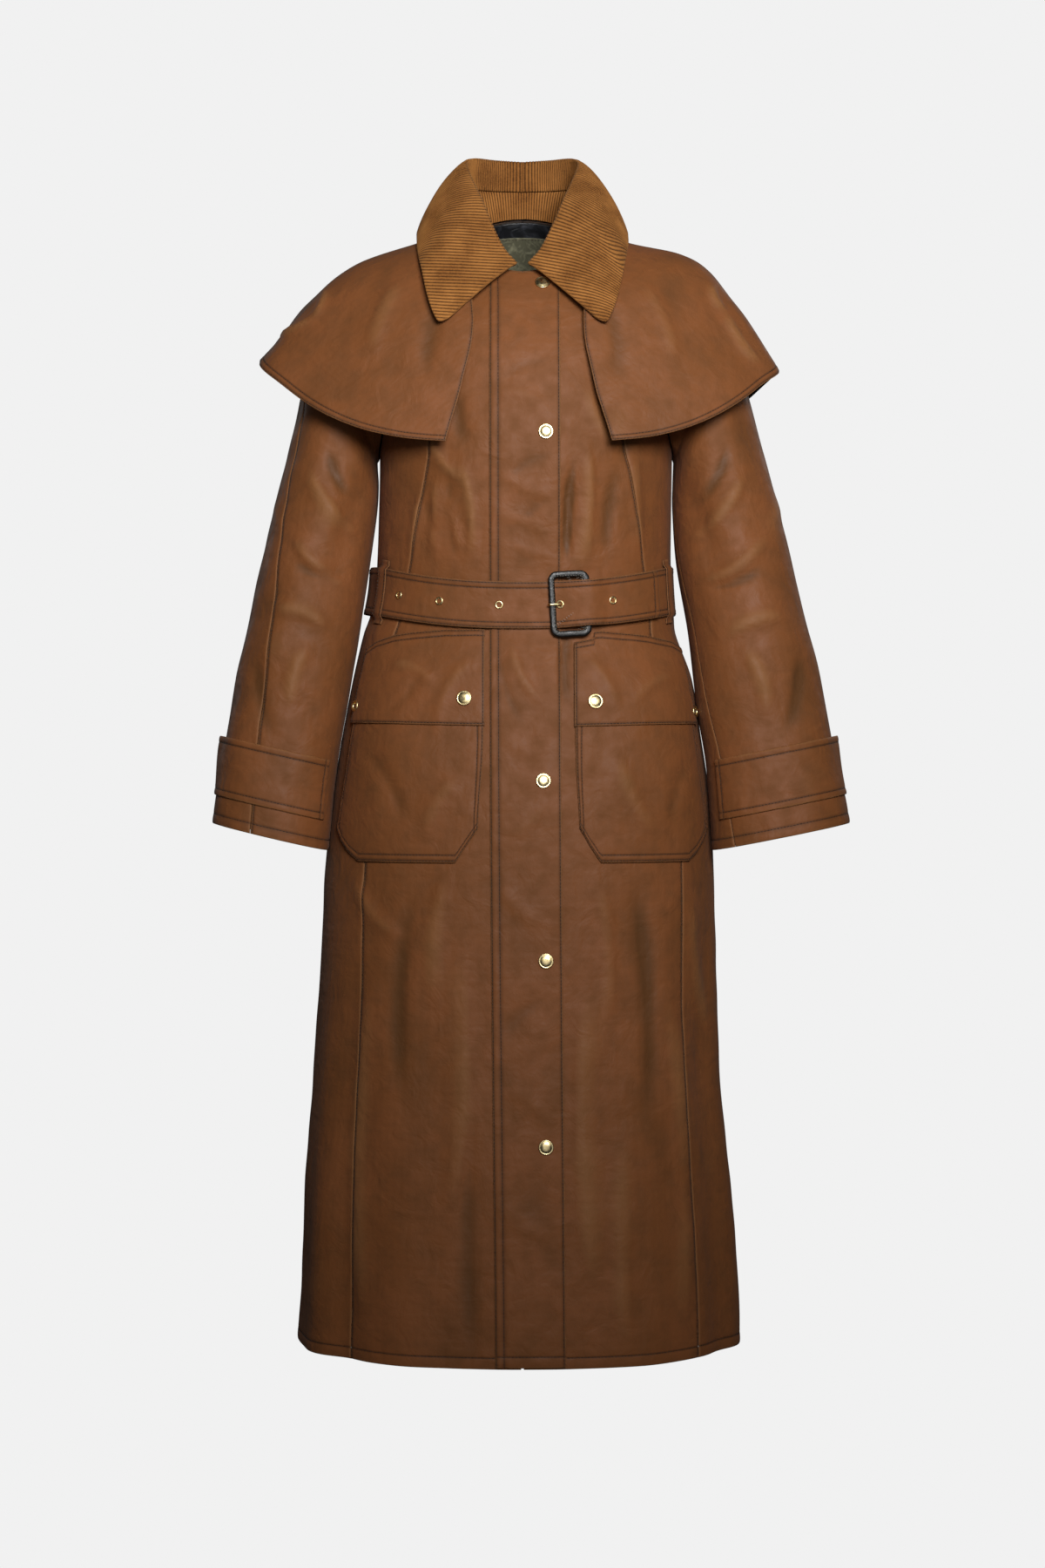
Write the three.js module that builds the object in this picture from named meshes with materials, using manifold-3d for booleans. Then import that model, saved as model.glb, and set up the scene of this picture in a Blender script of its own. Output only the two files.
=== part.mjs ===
// Long belted rain coat of waxed cotton with a shoulder cape and a corduroy collar, filled out with no wearer.
// Millimetres, +Z up, the front faces -Y, the wearer's left side is +X.
// The origin lies between the shoulders at the base of the neck. "Turn" is the angle round the body in degrees:
// 0 at the centre front, +90 at the wearer's left side, 180 at the centre back. "Drop" is the height below
// the origin measured down the side line.
import * as THREE from "three";
import { mergeVertices } from "three/addons/utils/BufferGeometryUtils.js";
import Module from "manifold-3d";

const wasm = await Module();
wasm.setup();

const RAD = Math.PI / 180;

// Thickness of each stuff, the air between two layers and the share of a seam gap on either side.
const CLOTH = 1.6;
const CORD = 2.4;
const LINING = 1.2;
const STRAP = 1.8;
const AIR = 0.35;
const SEAM = 0.2;

// The body of the coat as rings. Columns: drop at the side, at the centre front and at the centre back, half width
// on the wearer's left and right, depth to the front and to the back, and how square the ring is (2 is an ellipse).
const BODY_RINGS = [
  { drop: -18, front: 32, back: -46, left: 72, right: 72, fore: 75, aft: 68, square: 2.05 },
  { drop: 2, front: 57, back: -18, left: 116, right: 116, fore: 91, aft: 83, square: 2.1 },
  { drop: 27, front: 88, back: 21, left: 169, right: 167, fore: 105, aft: 99, square: 2.2 },
  { drop: 75, front: 124, back: 75, left: 167, right: 165, fore: 117, aft: 111, square: 2.3 },
  { drop: 130, front: 162, back: 130, left: 158, right: 154, fore: 122, aft: 116, square: 2.35 },
  { drop: 175, front: 194, back: 177, left: 154, right: 149, fore: 125, aft: 117, square: 2.4 },
  { drop: 215, front: 226, back: 216, left: 154, right: 147, fore: 125, aft: 116, square: 2.4 },
  { drop: 290, front: 305, back: 290, left: 153, right: 148.6, fore: 117, aft: 109, square: 2.4 },
  { drop: 326, front: 346.8, back: 326, left: 153, right: 150, fore: 112.4, aft: 104.5, square: 2.4 },
  { drop: 351, front: 371.3, back: 351, left: 154, right: 152, fore: 111.4, aft: 103.6, square: 2.4 },
  { drop: 376, front: 395.8, back: 376, left: 156, right: 157, fore: 112.6, aft: 105, square: 2.4 },
  { drop: 395, front: 412, back: 395, left: 158, right: 164, fore: 117, aft: 110, square: 2.4 },
  { drop: 440, front: 449, back: 440, left: 174, right: 174.4, fore: 126, aft: 121, square: 2.4 },
  { drop: 500, front: 504, back: 500, left: 183.6, right: 185.6, fore: 134, aft: 131, square: 2.4 },
  { drop: 565, front: 566, back: 565, left: 193, right: 196, fore: 140, aft: 138, square: 2.35 },
  { drop: 640, front: 641, back: 640, left: 197, right: 203.5, fore: 144, aft: 143, square: 2.3 },
  { drop: 747, front: 748, back: 747, left: 198, right: 209, fore: 148, aft: 148, square: 2.3 },
  { drop: 850, front: 851, back: 850, left: 202, right: 216, fore: 153, aft: 153, square: 2.3 },
  { drop: 963, front: 964, back: 963, left: 213, right: 224, fore: 159, aft: 159, square: 2.3 },
  { drop: 1060, front: 1062, back: 1060, left: 220, right: 228, fore: 163, aft: 163, square: 2.3 },
  { drop: 1118, front: 1121, back: 1118, left: 222, right: 231, fore: 165, aft: 165, square: 2.3 },
];

// Large soft folds of the body. Columns: turn at the top and at the hem, spread in degrees, height (negative is
// a trough), and the drops between which the fold grows to its full height and where it ends.
const BODY_FOLDS = [
  { top: -52, hem: -47, spread: 6, height: -4, from: 640, full: 900, end: 1200 },
  { top: -66, hem: -62, spread: 8, height: 5, from: 700, full: 1000, end: 1200 },
  { top: 66, hem: 62, spread: 7, height: -5, from: 640, full: 860, end: 1200 },
  { top: 80, hem: 76, spread: 8, height: 4, from: 560, full: 800, end: 1200 },
  { top: -30, hem: -28, spread: 9, height: 3, from: 660, full: 950, end: 1200 },
  { top: 34, hem: 30, spread: 9, height: 3, from: 680, full: 950, end: 1200 },
  { top: 120, hem: 124, spread: 9, height: 6, from: 430, full: 800, end: 1200 },
  { top: 147, hem: 150, spread: 8, height: -5, from: 430, full: 850, end: 1200 },
  { top: 176, hem: 178, spread: 9, height: 5, from: 430, full: 820, end: 1200 },
  { top: 207, hem: 209, spread: 8, height: -5, from: 430, full: 850, end: 1200 },
  { top: 238, hem: 236, spread: 9, height: 6, from: 430, full: 800, end: 1200 },
  { top: 150, hem: 150, spread: 11, height: 4, from: 215, full: 280, end: 345 },
  { top: 205, hem: 205, spread: 11, height: 4, from: 215, full: 280, end: 345 },
];

// Armhole: turns of its front and back edge at each drop, from the shoulder point to the underarm.
const ARMHOLE_TOP = 27;
const ARMHOLE_END = 215;
const ARMHOLE = [
  { drop: 27, front: 89, back: 91 },
  { drop: 35, front: 82, back: 98 },
  { drop: 50, front: 74, back: 106 },
  { drop: 75, front: 67, back: 112 },
  { drop: 102, front: 63, back: 115 },
  { drop: 130, front: 62, back: 116 },
  { drop: 160, front: 64, back: 114 },
  { drop: 185, front: 69, back: 110 },
  { drop: 203, front: 77, back: 103 },
  { drop: 215, front: 88, back: 92 },
];

// The long seam between each front and its side piece, as turns.
const FRONT_SEAM = [
  { drop: -18, right: 40, left: 42 },
  { drop: 25, right: 28, left: 30 },
  { drop: 130, right: 30, left: 33 },
  { drop: 215, right: 36, left: 39 },
  { drop: 290, right: 43, left: 47 },
  { drop: 350, right: 49, left: 53 },
  { drop: 440, right: 50, left: 53 },
  { drop: 1118, right: 46, left: 50 },
];

// Storm fly: its sewn edge and its free edge, as widths from the centre.
const FLY = [
  { drop: -18, sewn: -33, free: 37.5 },
  { drop: 560, sewn: -32, free: 38.5 },
  { drop: 1118, sewn: -26.5, free: 42.5 },
];
const FLY_TOP_DROP = 2;
const FLY_HEM_RISE = 1.5;

// Rows of the body mesh.
const BODY_LEVELS = [
  -18, -7, 8, 27, 50, 75, 102, 130, 160, 185, 215, 252, 290, 326.5, 351, 375.5, 411, 450, 500, 550, 592, 626, 700, 790,
  880, 965, 1045, 1118,
];
const BODY_STEP = 10;

// Sleeve rings, given down the outer and the inner line of the arm. Columns: out and inn are widths from the centre of
// the body, outDrop and innDrop their drops, deep the half depth, ahead how far the ring's middle lies in front.
const SLEEVE_LEFT = [
  { run: 1, out: 206, outDrop: 56, inn: 156, innDrop: 217, deep: 73, ahead: 0 },
  { run: 2, out: 223, outDrop: 105, inn: 155.6, innDrop: 226, deep: 73, ahead: 1 },
  { run: 3, out: 235, outDrop: 163, inn: 155, innDrop: 242, deep: 71, ahead: 4 },
  { run: 4, out: 252, outDrop: 225, inn: 154.6, innDrop: 268, deep: 69, ahead: 9 },
  { run: 5, out: 270, outDrop: 297, inn: 157.6, innDrop: 322, deep: 65, ahead: 18 },
  { run: 6, out: 286, outDrop: 369, inn: 169, innDrop: 394, deep: 62, ahead: 28 },
  { run: 7, out: 302, outDrop: 441, inn: 177, innDrop: 466, deep: 59, ahead: 38 },
  { run: 8, out: 316, outDrop: 508, inn: 187, innDrop: 534, deep: 57, ahead: 46 },
  { run: 9, out: 332, outDrop: 588, inn: 192.5, innDrop: 616, deep: 56, ahead: 54 },
];
const SLEEVE_RIGHT = [
  { run: 1, out: 204, outDrop: 56, inn: 150, innDrop: 217, deep: 73, ahead: 0 },
  { run: 2, out: 219, outDrop: 105, inn: 149.5, innDrop: 226, deep: 73, ahead: 1 },
  { run: 3, out: 231, outDrop: 163, inn: 148.4, innDrop: 242, deep: 71, ahead: 4 },
  { run: 4, out: 245, outDrop: 225, inn: 149.6, innDrop: 268, deep: 69, ahead: 9 },
  { run: 5, out: 262, outDrop: 297, inn: 156.5, innDrop: 322, deep: 65, ahead: 18 },
  { run: 6, out: 277, outDrop: 369, inn: 166.5, innDrop: 394, deep: 61, ahead: 28 },
  { run: 7, out: 291, outDrop: 441, inn: 178, innDrop: 466, deep: 58, ahead: 38 },
  { run: 8, out: 303, outDrop: 508, inn: 189, innDrop: 534, deep: 56, ahead: 46 },
  { run: 9, out: 315, outDrop: 588, inn: 197, innDrop: 616, deep: 55, ahead: 54 },
];
const SLEEVE_LAST = 9;
const SLEEVE_STEP = 20;
const SLEEVE_SQUARE = 2.15;
const SLEEVE_LEVELS = [0, 1, 2, 3, 4, 5, 6, 7, 7.9, 8.65, 9];

// Turns round the arm of the two sleeve seams: 0 faces front, 90 away from the body, -90 to the body.
const SLEEVE_SEAMS = [
  { run: 0, rightOuter: 62, rightInner: -100, leftOuter: 104, leftInner: -88 },
  { run: 4, rightOuter: 50, rightInner: -100, leftOuter: 108, leftInner: -80 },
  { run: 6, rightOuter: 30, rightInner: -100, leftOuter: 112, leftInner: -66 },
  { run: 9, rightOuter: 14, rightInner: -100, leftOuter: 116, leftInner: -44 },
];

// Soft folds of the sleeves. Columns: turn at each end, the runs between which the fold lies, spread and height.
const SLEEVE_FOLDS = [
  { run: 2.6, end: 6.2, turn: -58, endTurn: -10, spread: 17, height: -4 },
  { run: 3.2, end: 7.4, turn: -20, endTurn: 30, spread: 20, height: 3 },
  { run: 2.4, end: 6.0, turn: 214, endTurn: 170, spread: 18, height: -4 },
  { run: 4.2, end: 7.6, turn: 150, endTurn: 120, spread: 20, height: 3 },
];

// Shoulder cape as rings down its length. Columns: reach is 0 at the neck and 1 at the hem, then the drops at the
// wearer's left and right side, front and back, the half widths, the depths.
const CAPE_RINGS = [
  { reach: 0, dropLeft: -21, dropRight: -21, front: 27, back: -50, left: 74, right: 74, fore: 79, aft: 71.5 },
  { reach: 0.15, dropLeft: -8, dropRight: -8, front: 53, back: -28, left: 110, right: 108, fore: 97.5, aft: 90 },
  { reach: 0.35, dropLeft: 4, dropRight: 6, front: 84, back: 12, left: 164, right: 152, fore: 114, aft: 108 },
  { reach: 0.55, dropLeft: 22, dropRight: 24, front: 122, back: 56, left: 194, right: 188, fore: 124, aft: 119 },
  { reach: 0.75, dropLeft: 55, dropRight: 55, front: 160, back: 106, left: 223, right: 226, fore: 131, aft: 127 },
  { reach: 0.88, dropLeft: 88, dropRight: 86, front: 186, back: 146, left: 245, right: 251, fore: 135, aft: 135 },
  { reach: 1, dropLeft: 121, dropRight: 112, front: 212, back: 184, left: 265, right: 274, fore: 139, aft: 144 },
];
const CAPE_SQUARE = 2.3;
const CAPE_DIP = 3;
const CAPE_STEP = 12;
const CAPE_LEVELS = [0, 0.08, 0.16, 0.26, 0.36, 0.48, 0.6, 0.75, 0.88, 1];
const CAPE_FRONT = [
  { reach: 0, right: 34, left: 36 },
  { reach: 0.2, right: 22, left: 25 },
  { reach: 0.4, right: 14.5, left: 17.5 },
  { reach: 0.7, right: 13, left: 16 },
  { reach: 1, right: 13.2, left: 16.4 },
];
const CAPE_FOLDS = [
  { turn: 73, spread: 6, height: 6, from: 0.35 },
  { turn: 86, spread: 6, height: -5, from: 0.35 },
  { turn: -70, spread: 8, height: 5, from: 0.4 },
  { turn: -84, spread: 6, height: -4, from: 0.4 },
  { turn: 122, spread: 9, height: 5, from: 0.35 },
  { turn: 155, spread: 9, height: -4, from: 0.35 },
  { turn: 208, spread: 10, height: 5, from: 0.35 },
  { turn: 240, spread: 9, height: -4, from: 0.35 },
];

// Collar, from the centre back (0) round to a front end (1). Each station gives the seam on the stand, the top of the
// roll and the outer edge as width, back (+) and up (+), and how far the leaf swells outwards.
const COLLAR = [
  { at: 0, seamX: 0, seamY: 65.5, seamZ: 76, rollX: 0, rollY: 67, rollZ: 108, edgeX: 0, edgeY: 109, edgeZ: 38, swell: 15 },
  { at: 0.15, seamX: 29, seamY: 62, seamZ: 76, rollX: 28, rollY: 63, rollZ: 109, edgeX: 45, edgeY: 103, edgeZ: 36, swell: 15 },
  { at: 0.3, seamX: 51, seamY: 47, seamZ: 74, rollX: 48, rollY: 49, rollZ: 108, edgeX: 84, edgeY: 78, edgeZ: 30, swell: 15 },
  { at: 0.42, seamX: 62, seamY: 27, seamZ: 67, rollX: 56, rollY: 29, rollZ: 102, edgeX: 103, edgeY: 42, edgeZ: 23, swell: 15 },
  { at: 0.52, seamX: 66, seamY: 4, seamZ: 56, rollX: 57, rollY: 8, rollZ: 92, edgeX: 109, edgeY: 0, edgeZ: 21, swell: 15 },
  { at: 0.62, seamX: 64, seamY: -20, seamZ: 39, rollX: 50, rollY: -15, rollZ: 71, edgeX: 107, edgeY: -56, edgeZ: -7, swell: 13 },
  { at: 0.72, seamX: 55, seamY: -43, seamZ: 18, rollX: 41, rollY: -38, rollZ: 48, edgeX: 101, edgeY: -92, edgeZ: -36, swell: 11 },
  { at: 0.82, seamX: 41, seamY: -62, seamZ: -5, rollX: 30, rollY: -59, rollZ: 18, edgeX: 95, edgeY: -109, edgeZ: -62, swell: 9 },
  { at: 0.91, seamX: 25, seamY: -74, seamZ: -20, rollX: 18, rollY: -76, rollZ: -9, edgeX: 88, edgeY: -117, edgeZ: -82, swell: 7 },
  { at: 1, seamX: 9, seamY: -80, seamZ: -29, rollX: 5, rollY: -86, rollZ: -26, edgeX: 81, edgeY: -121, edgeZ: -94, swell: 5 },
];
const COLLAR_COLUMNS = 36;
const COLLAR_LEVELS = [0, 0.12, 0.22, 0.3, 0.38, 0.5, 0.65, 0.82, 1];
const COLLAR_ROLL = 0.26;
const STAND_END = 0.93;

// Belt: its width, how far it sits off the cloth and the places along it, as widths from the centre front.
const BELT_WIDTH = 49;
const BELT_DROP = 351;
const BELT_OVER_FLY = 4.2;
const BELT_AT_BACK = 0.7;
const BELT_RIDES_DOWN = 78;
// The belt stands off the coat behind the wearer's right side.
const BELT_BULGE_TURN = 262;
const BELT_BULGE = 8.5;
const BELT_START_X = 63;
const BELT_TIP_X = 133;
const BELT_POINT = 2;
const BUCKLE_LEFT_X = 25;
const BUCKLE_RIGHT_X = 67;
const BUCKLE_HEIGHT = 66;
const BUCKLE_BAR = 6.6;
const BUCKLE_THICK = 3.2;
const BUCKLE_CORNER = 8;
const BUCKLE_CLEAR = 1.4;
const EYELETS_X = [-121, -81, -23, 36.5, 87];
const EYELET_RADIUS = 4.2;
const EYELET_HOLE = 2.1;
const EYELET_CUT = 2.6;
const EYELET_THICK = 0.7;
const PRONG_WIDTH = 2.4;
const PRONG_THICK = 1.4;
const PRONG_DEPTH = 3;
const LOOP_WIDTH = 16;
const LOOP_REACH = 8;

// Brass: press studs on the fly and on the flaps, and the vent rings at the side of the pockets.
const STUD_RADIUS = 7.6;
const STUD_RIM = 5.4;
const STUD_HEIGHT = 2.2;
const FLY_STUDS = [
  { x: 20, z: -47 },
  { x: 23, z: -200 },
  { x: 20.5, z: -546 },
  { x: 23, z: -723 },
  { x: 23, z: -905 },
];
const FLAP_STUDS = { right: { x: -57, z: -465 }, left: { x: 71, z: -468 } };
const VENT_RINGS = { right: { x: -165, z: -471 }, left: { x: 171, z: -476 } };
const VENT_RADIUS = 6;
const VENT_HOLE = 3;
const VENT_THICK = 0.8;

// Pockets and flaps: edges as widths from the centre at each drop, inner edge first.
const POCKET_BASE = 0.9;
const FLAP_AIR = 0.7;
const POCKET_SWELL = 3.5;
const POCKETS = {
  right: [
    { drop: 412, inner: -37.5, outer: -158 },
    { drop: 500, inner: -38, outer: -172 },
    { drop: 565, inner: -41, outer: -182 },
    { drop: 592, inner: -43.5, outer: -186 },
    { drop: 600, inner: -49, outer: -184 },
    { drop: 609, inner: -55, outer: -180 },
    { drop: 618, inner: -61, outer: -173 },
    { drop: 626, inner: -66, outer: -164 },
  ],
  left: [
    { drop: 412, inner: 51.5, outer: 160 },
    { drop: 500, inner: 52, outer: 174 },
    { drop: 565, inner: 53.5, outer: 183 },
    { drop: 592, inner: 56, outer: 186 },
    { drop: 600, inner: 61, outer: 184 },
    { drop: 609, inner: 66, outer: 180 },
    { drop: 618, inner: 72, outer: 174 },
    { drop: 626, inner: 77, outer: 166 },
  ],
};
const FLAPS = {
  right: [
    { drop: 377, inner: -37, outer: -46 },
    { drop: 380, inner: -37, outer: -77 },
    { drop: 384, inner: -37, outer: -95 },
    { drop: 388, inner: -37, outer: -111 },
    { drop: 393, inner: -37, outer: -127 },
    { drop: 401, inner: -37, outer: -143 },
    { drop: 411, inner: -37, outer: -155 },
    { drop: 450, inner: -37, outer: -164 },
    { drop: 487, inner: -37, outer: -171 },
  ],
  left: [
    { drop: 382, inner: 71, outer: 77 },
    { drop: 388, inner: 71, outer: 104 },
    { drop: 390, inner: 70, outer: 112 },
    { drop: 393, inner: 51, outer: 122 },
    { drop: 397, inner: 51, outer: 133 },
    { drop: 403, inner: 51, outer: 147 },
    { drop: 411, inner: 51, outer: 158 },
    { drop: 450, inner: 51, outer: 166 },
    { drop: 488, inner: 51, outer: 174 },
  ],
};

// Cuff tabs, as runs down the sleeve and turns round it.
const TAB_TOP = 7.9;
const TAB_END = 8.65;
const TABS = { right: { from: -60, to: 200 }, left: { from: -60, to: 200 } };
const TAB_FLARE = 5;

// Lining and label patch inside the back neck.
const NECK_LINING = { from: 110, to: 250, top: -17, end: 42 };
const NECK_PATCH = { from: 160, to: 200, top: -7, end: 24 };

const FINISHES = {
  waxed_cotton: { color: 0x734528, roughness: 0.55, metalness: 0 },
  corduroy: { color: 0x8a5a30, roughness: 0.95, metalness: 0 },
  lining_black: { color: 0x1c1d20, roughness: 0.8, metalness: 0 },
  patch_olive: { color: 0x6a6650, roughness: 0.85, metalness: 0 },
  brass: { color: 0xd8bf84, roughness: 0.28, metalness: 1 },
  buckle_leather: { color: 0x17171a, roughness: 0.5, metalness: 0 },
};

// A column of a table at any place between its rows, by a smooth curve through them.
function read(table, key, at, column) {
  const last = table.length - 1;
  if (at <= table[0][key]) return table[0][column];
  if (at >= table[last][key]) return table[last][column];
  let i = 0;
  while (table[i + 1][key] < at) i++;
  const slope = (k) => {
    const a = table[Math.max(k - 1, 0)];
    const b = table[Math.min(k + 1, last)];
    return (b[column] - a[column]) / (b[key] - a[key]);
  };
  const p = table[i];
  const q = table[i + 1];
  const span = q[key] - p[key];
  const t = (at - p[key]) / span;
  const t2 = t * t;
  const t3 = t2 * t;
  return (
    (2 * t3 - 3 * t2 + 1) * p[column] +
    (t3 - 2 * t2 + t) * span * slope(i) +
    (3 * t2 - 2 * t3) * q[column] +
    (t3 - t2) * span * slope(i + 1)
  );
}

// The same by straight lines, for edges with corners.
function readStraight(table, key, at, column) {
  const last = table.length - 1;
  if (at <= table[0][key]) return table[0][column];
  if (at >= table[last][key]) return table[last][column];
  let i = 0;
  while (table[i + 1][key] < at) i++;
  const t = (at - table[i][key]) / (table[i + 1][key] - table[i][key]);
  return THREE.MathUtils.lerp(table[i][column], table[i + 1][column], t);
}

const signedPower = (value, power) => Math.sign(value) * Math.abs(value) ** power;
const bell = (away, spread) => Math.exp(-((away / spread) ** 2));
const wrapTurn = (turn) => turn - 360 * Math.floor((turn + 180) / 360);

function bodyFold(turn, drop) {
  let height = 0;
  for (const fold of BODY_FOLDS) {
    const grown = THREE.MathUtils.smoothstep(drop, fold.from, fold.full);
    const ended = 1 - THREE.MathUtils.smoothstep(drop, fold.full, fold.end) * (fold.end < 1118 ? 1 : 0);
    const centre = THREE.MathUtils.lerp(fold.top, fold.hem, grown);
    height += fold.height * grown * ended * bell(wrapTurn(turn - centre), fold.spread);
  }
  return height;
}

function bodyPoint(turn, drop) {
  const s = Math.sin(turn * RAD);
  const c = Math.cos(turn * RAD);
  const col = (name) => read(BODY_RINGS, "drop", drop, name);
  const power = 2 / col("square");
  const half = s >= 0 ? col("left") : col("right");
  const depth = c >= 0 ? col("fore") : col("aft");
  const low = c >= 0 ? col("front") : col("back");
  const fold = bodyFold(turn, drop);
  const away = new THREE.Vector2(s / half, -c / depth).normalize().multiplyScalar(fold);
  return new THREE.Vector3(
    half * signedPower(s, power) + away.x,
    -depth * signedPower(c, power) + away.y,
    -(drop * s * s + low * c * c),
  );
}

// The turn at which a body ring has a given width from the centre.
function turnAtX(x, drop) {
  const half = read(BODY_RINGS, "drop", drop, x >= 0 ? "left" : "right");
  const square = read(BODY_RINGS, "drop", drop, "square");
  return (Math.sign(x) * Math.asin(Math.min(1, Math.abs(x) / half) ** (square / 2))) / RAD;
}

// A point of the sleeve on the wearer's left (side 1) or right (side -1).
function sleevePoint(side, turn, run) {
  const s = Math.sin(turn * RAD);
  const c = Math.cos(turn * RAD);
  if (run < 1) {
    const edge = armholePoint(side, turn);
    return edge.lerp(sleevePoint(side, turn, 1), run);
  }
  const table = side > 0 ? SLEEVE_LEFT : SLEEVE_RIGHT;
  const col = (name) => read(table, "run", run, name);
  const power = 2 / SLEEVE_SQUARE;
  const along = (1 + signedPower(s, power)) / 2;
  let swell = 0;
  for (const fold of SLEEVE_FOLDS) {
    const part = (run - fold.run) / (fold.end - fold.run);
    if (part <= 0 || part >= 1) continue;
    const centre = THREE.MathUtils.lerp(fold.turn, fold.endTurn, part);
    swell += fold.height * Math.sin(part * Math.PI) ** 2 * bell(wrapTurn(turn - centre), fold.spread);
  }
  return new THREE.Vector3(
    side * (THREE.MathUtils.lerp(col("inn"), col("out"), along) + swell * s),
    -col("ahead") - (col("deep") + swell) * signedPower(c, power),
    -THREE.MathUtils.lerp(col("innDrop"), col("outDrop"), along),
  );
}

// Where the sleeve is sewn in: just inside the armhole edge of the body.
function armholePoint(side, turn) {
  const s = Math.sin(turn * RAD);
  const middle = (ARMHOLE_TOP + ARMHOLE_END) / 2;
  const drop = middle - (s * (ARMHOLE_END - ARMHOLE_TOP)) / 2;
  const edge = readStraight(ARMHOLE, "drop", drop, Math.cos(turn * RAD) >= 0 ? "front" : "back");
  const point = bodySurface.at(side * edge, drop, 0);
  const centre = bodySurface.at(side * 89.5, middle, 0);
  const inward = centre.sub(point).normalize();
  return point.addScaledVector(inward, 0.6).add(new THREE.Vector3(side * 1.1 * Math.max(0, -s), 0, 0));
}

function capePoint(turn, reach) {
  const s = Math.sin(turn * RAD);
  const c = Math.cos(turn * RAD);
  const col = (name) => read(CAPE_RINGS, "reach", reach, name);
  const power = 2 / CAPE_SQUARE;
  const half = s >= 0 ? col("left") : col("right");
  const depth = c >= 0 ? col("fore") : col("aft");
  const low = c >= 0 ? col("front") : col("back");
  const side = s >= 0 ? col("dropLeft") : col("dropRight");
  const dip = Math.abs(s) ** THREE.MathUtils.lerp(2, CAPE_DIP, THREE.MathUtils.smoothstep(reach, 0.15, 0.9));
  let fold = 0;
  for (const f of CAPE_FOLDS)
    fold += f.height * THREE.MathUtils.smoothstep(reach, f.from, 1) * bell(wrapTurn(turn - f.turn), f.spread);
  const away = new THREE.Vector2(s / half, -c / depth).normalize().multiplyScalar(fold);
  return new THREE.Vector3(
    half * signedPower(s, power) + away.x,
    -depth * signedPower(c, power) + away.y,
    -(side * dip + low * (1 - dip)),
  );
}

// A point of the collar: place runs from -1 (wearer's right front end) over 0 (centre back) to 1, reach goes from the
// stand seam over the roll to the outer edge.
function collarPoint(place, reach) {
  const at = Math.abs(place);
  const col = (name) => read(COLLAR, "at", at, name);
  const point = (name) => new THREE.Vector3(Math.sign(place) * col(name + "X"), col(name + "Y"), col(name + "Z"));
  const seam = point("seam");
  const roll = point("roll");
  const edge = point("edge");
  if (reach <= COLLAR_ROLL) {
    const t = reach / COLLAR_ROLL;
    const lean = new THREE.Vector3(roll.x, roll.y, 0).normalize().multiplyScalar(-2 * Math.sin(t * Math.PI));
    return seam.lerp(roll, t).add(lean);
  }
  const t = (reach - COLLAR_ROLL) / (1 - COLLAR_ROLL);
  const out = new THREE.Vector3(edge.x - roll.x, edge.y - roll.y, 0).normalize();
  const first = roll.clone().addScaledVector(out, col("swell"));
  const second = edge.clone().lerp(first, 0.42).addScaledVector(out, col("swell") * 0.5);
  return new THREE.CubicBezierCurve3(roll, first, second, edge).getPoint(t);
}

// A stand point: reach 0 on the neck seam of the body, 1 on the seam of the collar.
function standPoint(place, reach) {
  const at = Math.abs(place);
  const col = (name) => read(COLLAR, "at", at, name);
  const top = new THREE.Vector3(Math.sign(place) * col("seamX"), col("seamY"), col("seamZ") - 0.7);
  const ring = BODY_RINGS[0];
  const turn = Math.atan2(top.x / ring.left, -top.y / (top.y > 0 ? ring.aft : ring.fore)) / RAD;
  const foot = bodySurface.at(turn, ring.drop, 0);
  const inward = new THREE.Vector3(-foot.x, -foot.y, 0).setLength(CORD + 0.3);
  foot.add(inward);
  foot.z += 1.3;
  return foot.lerp(top, reach);
}

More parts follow.
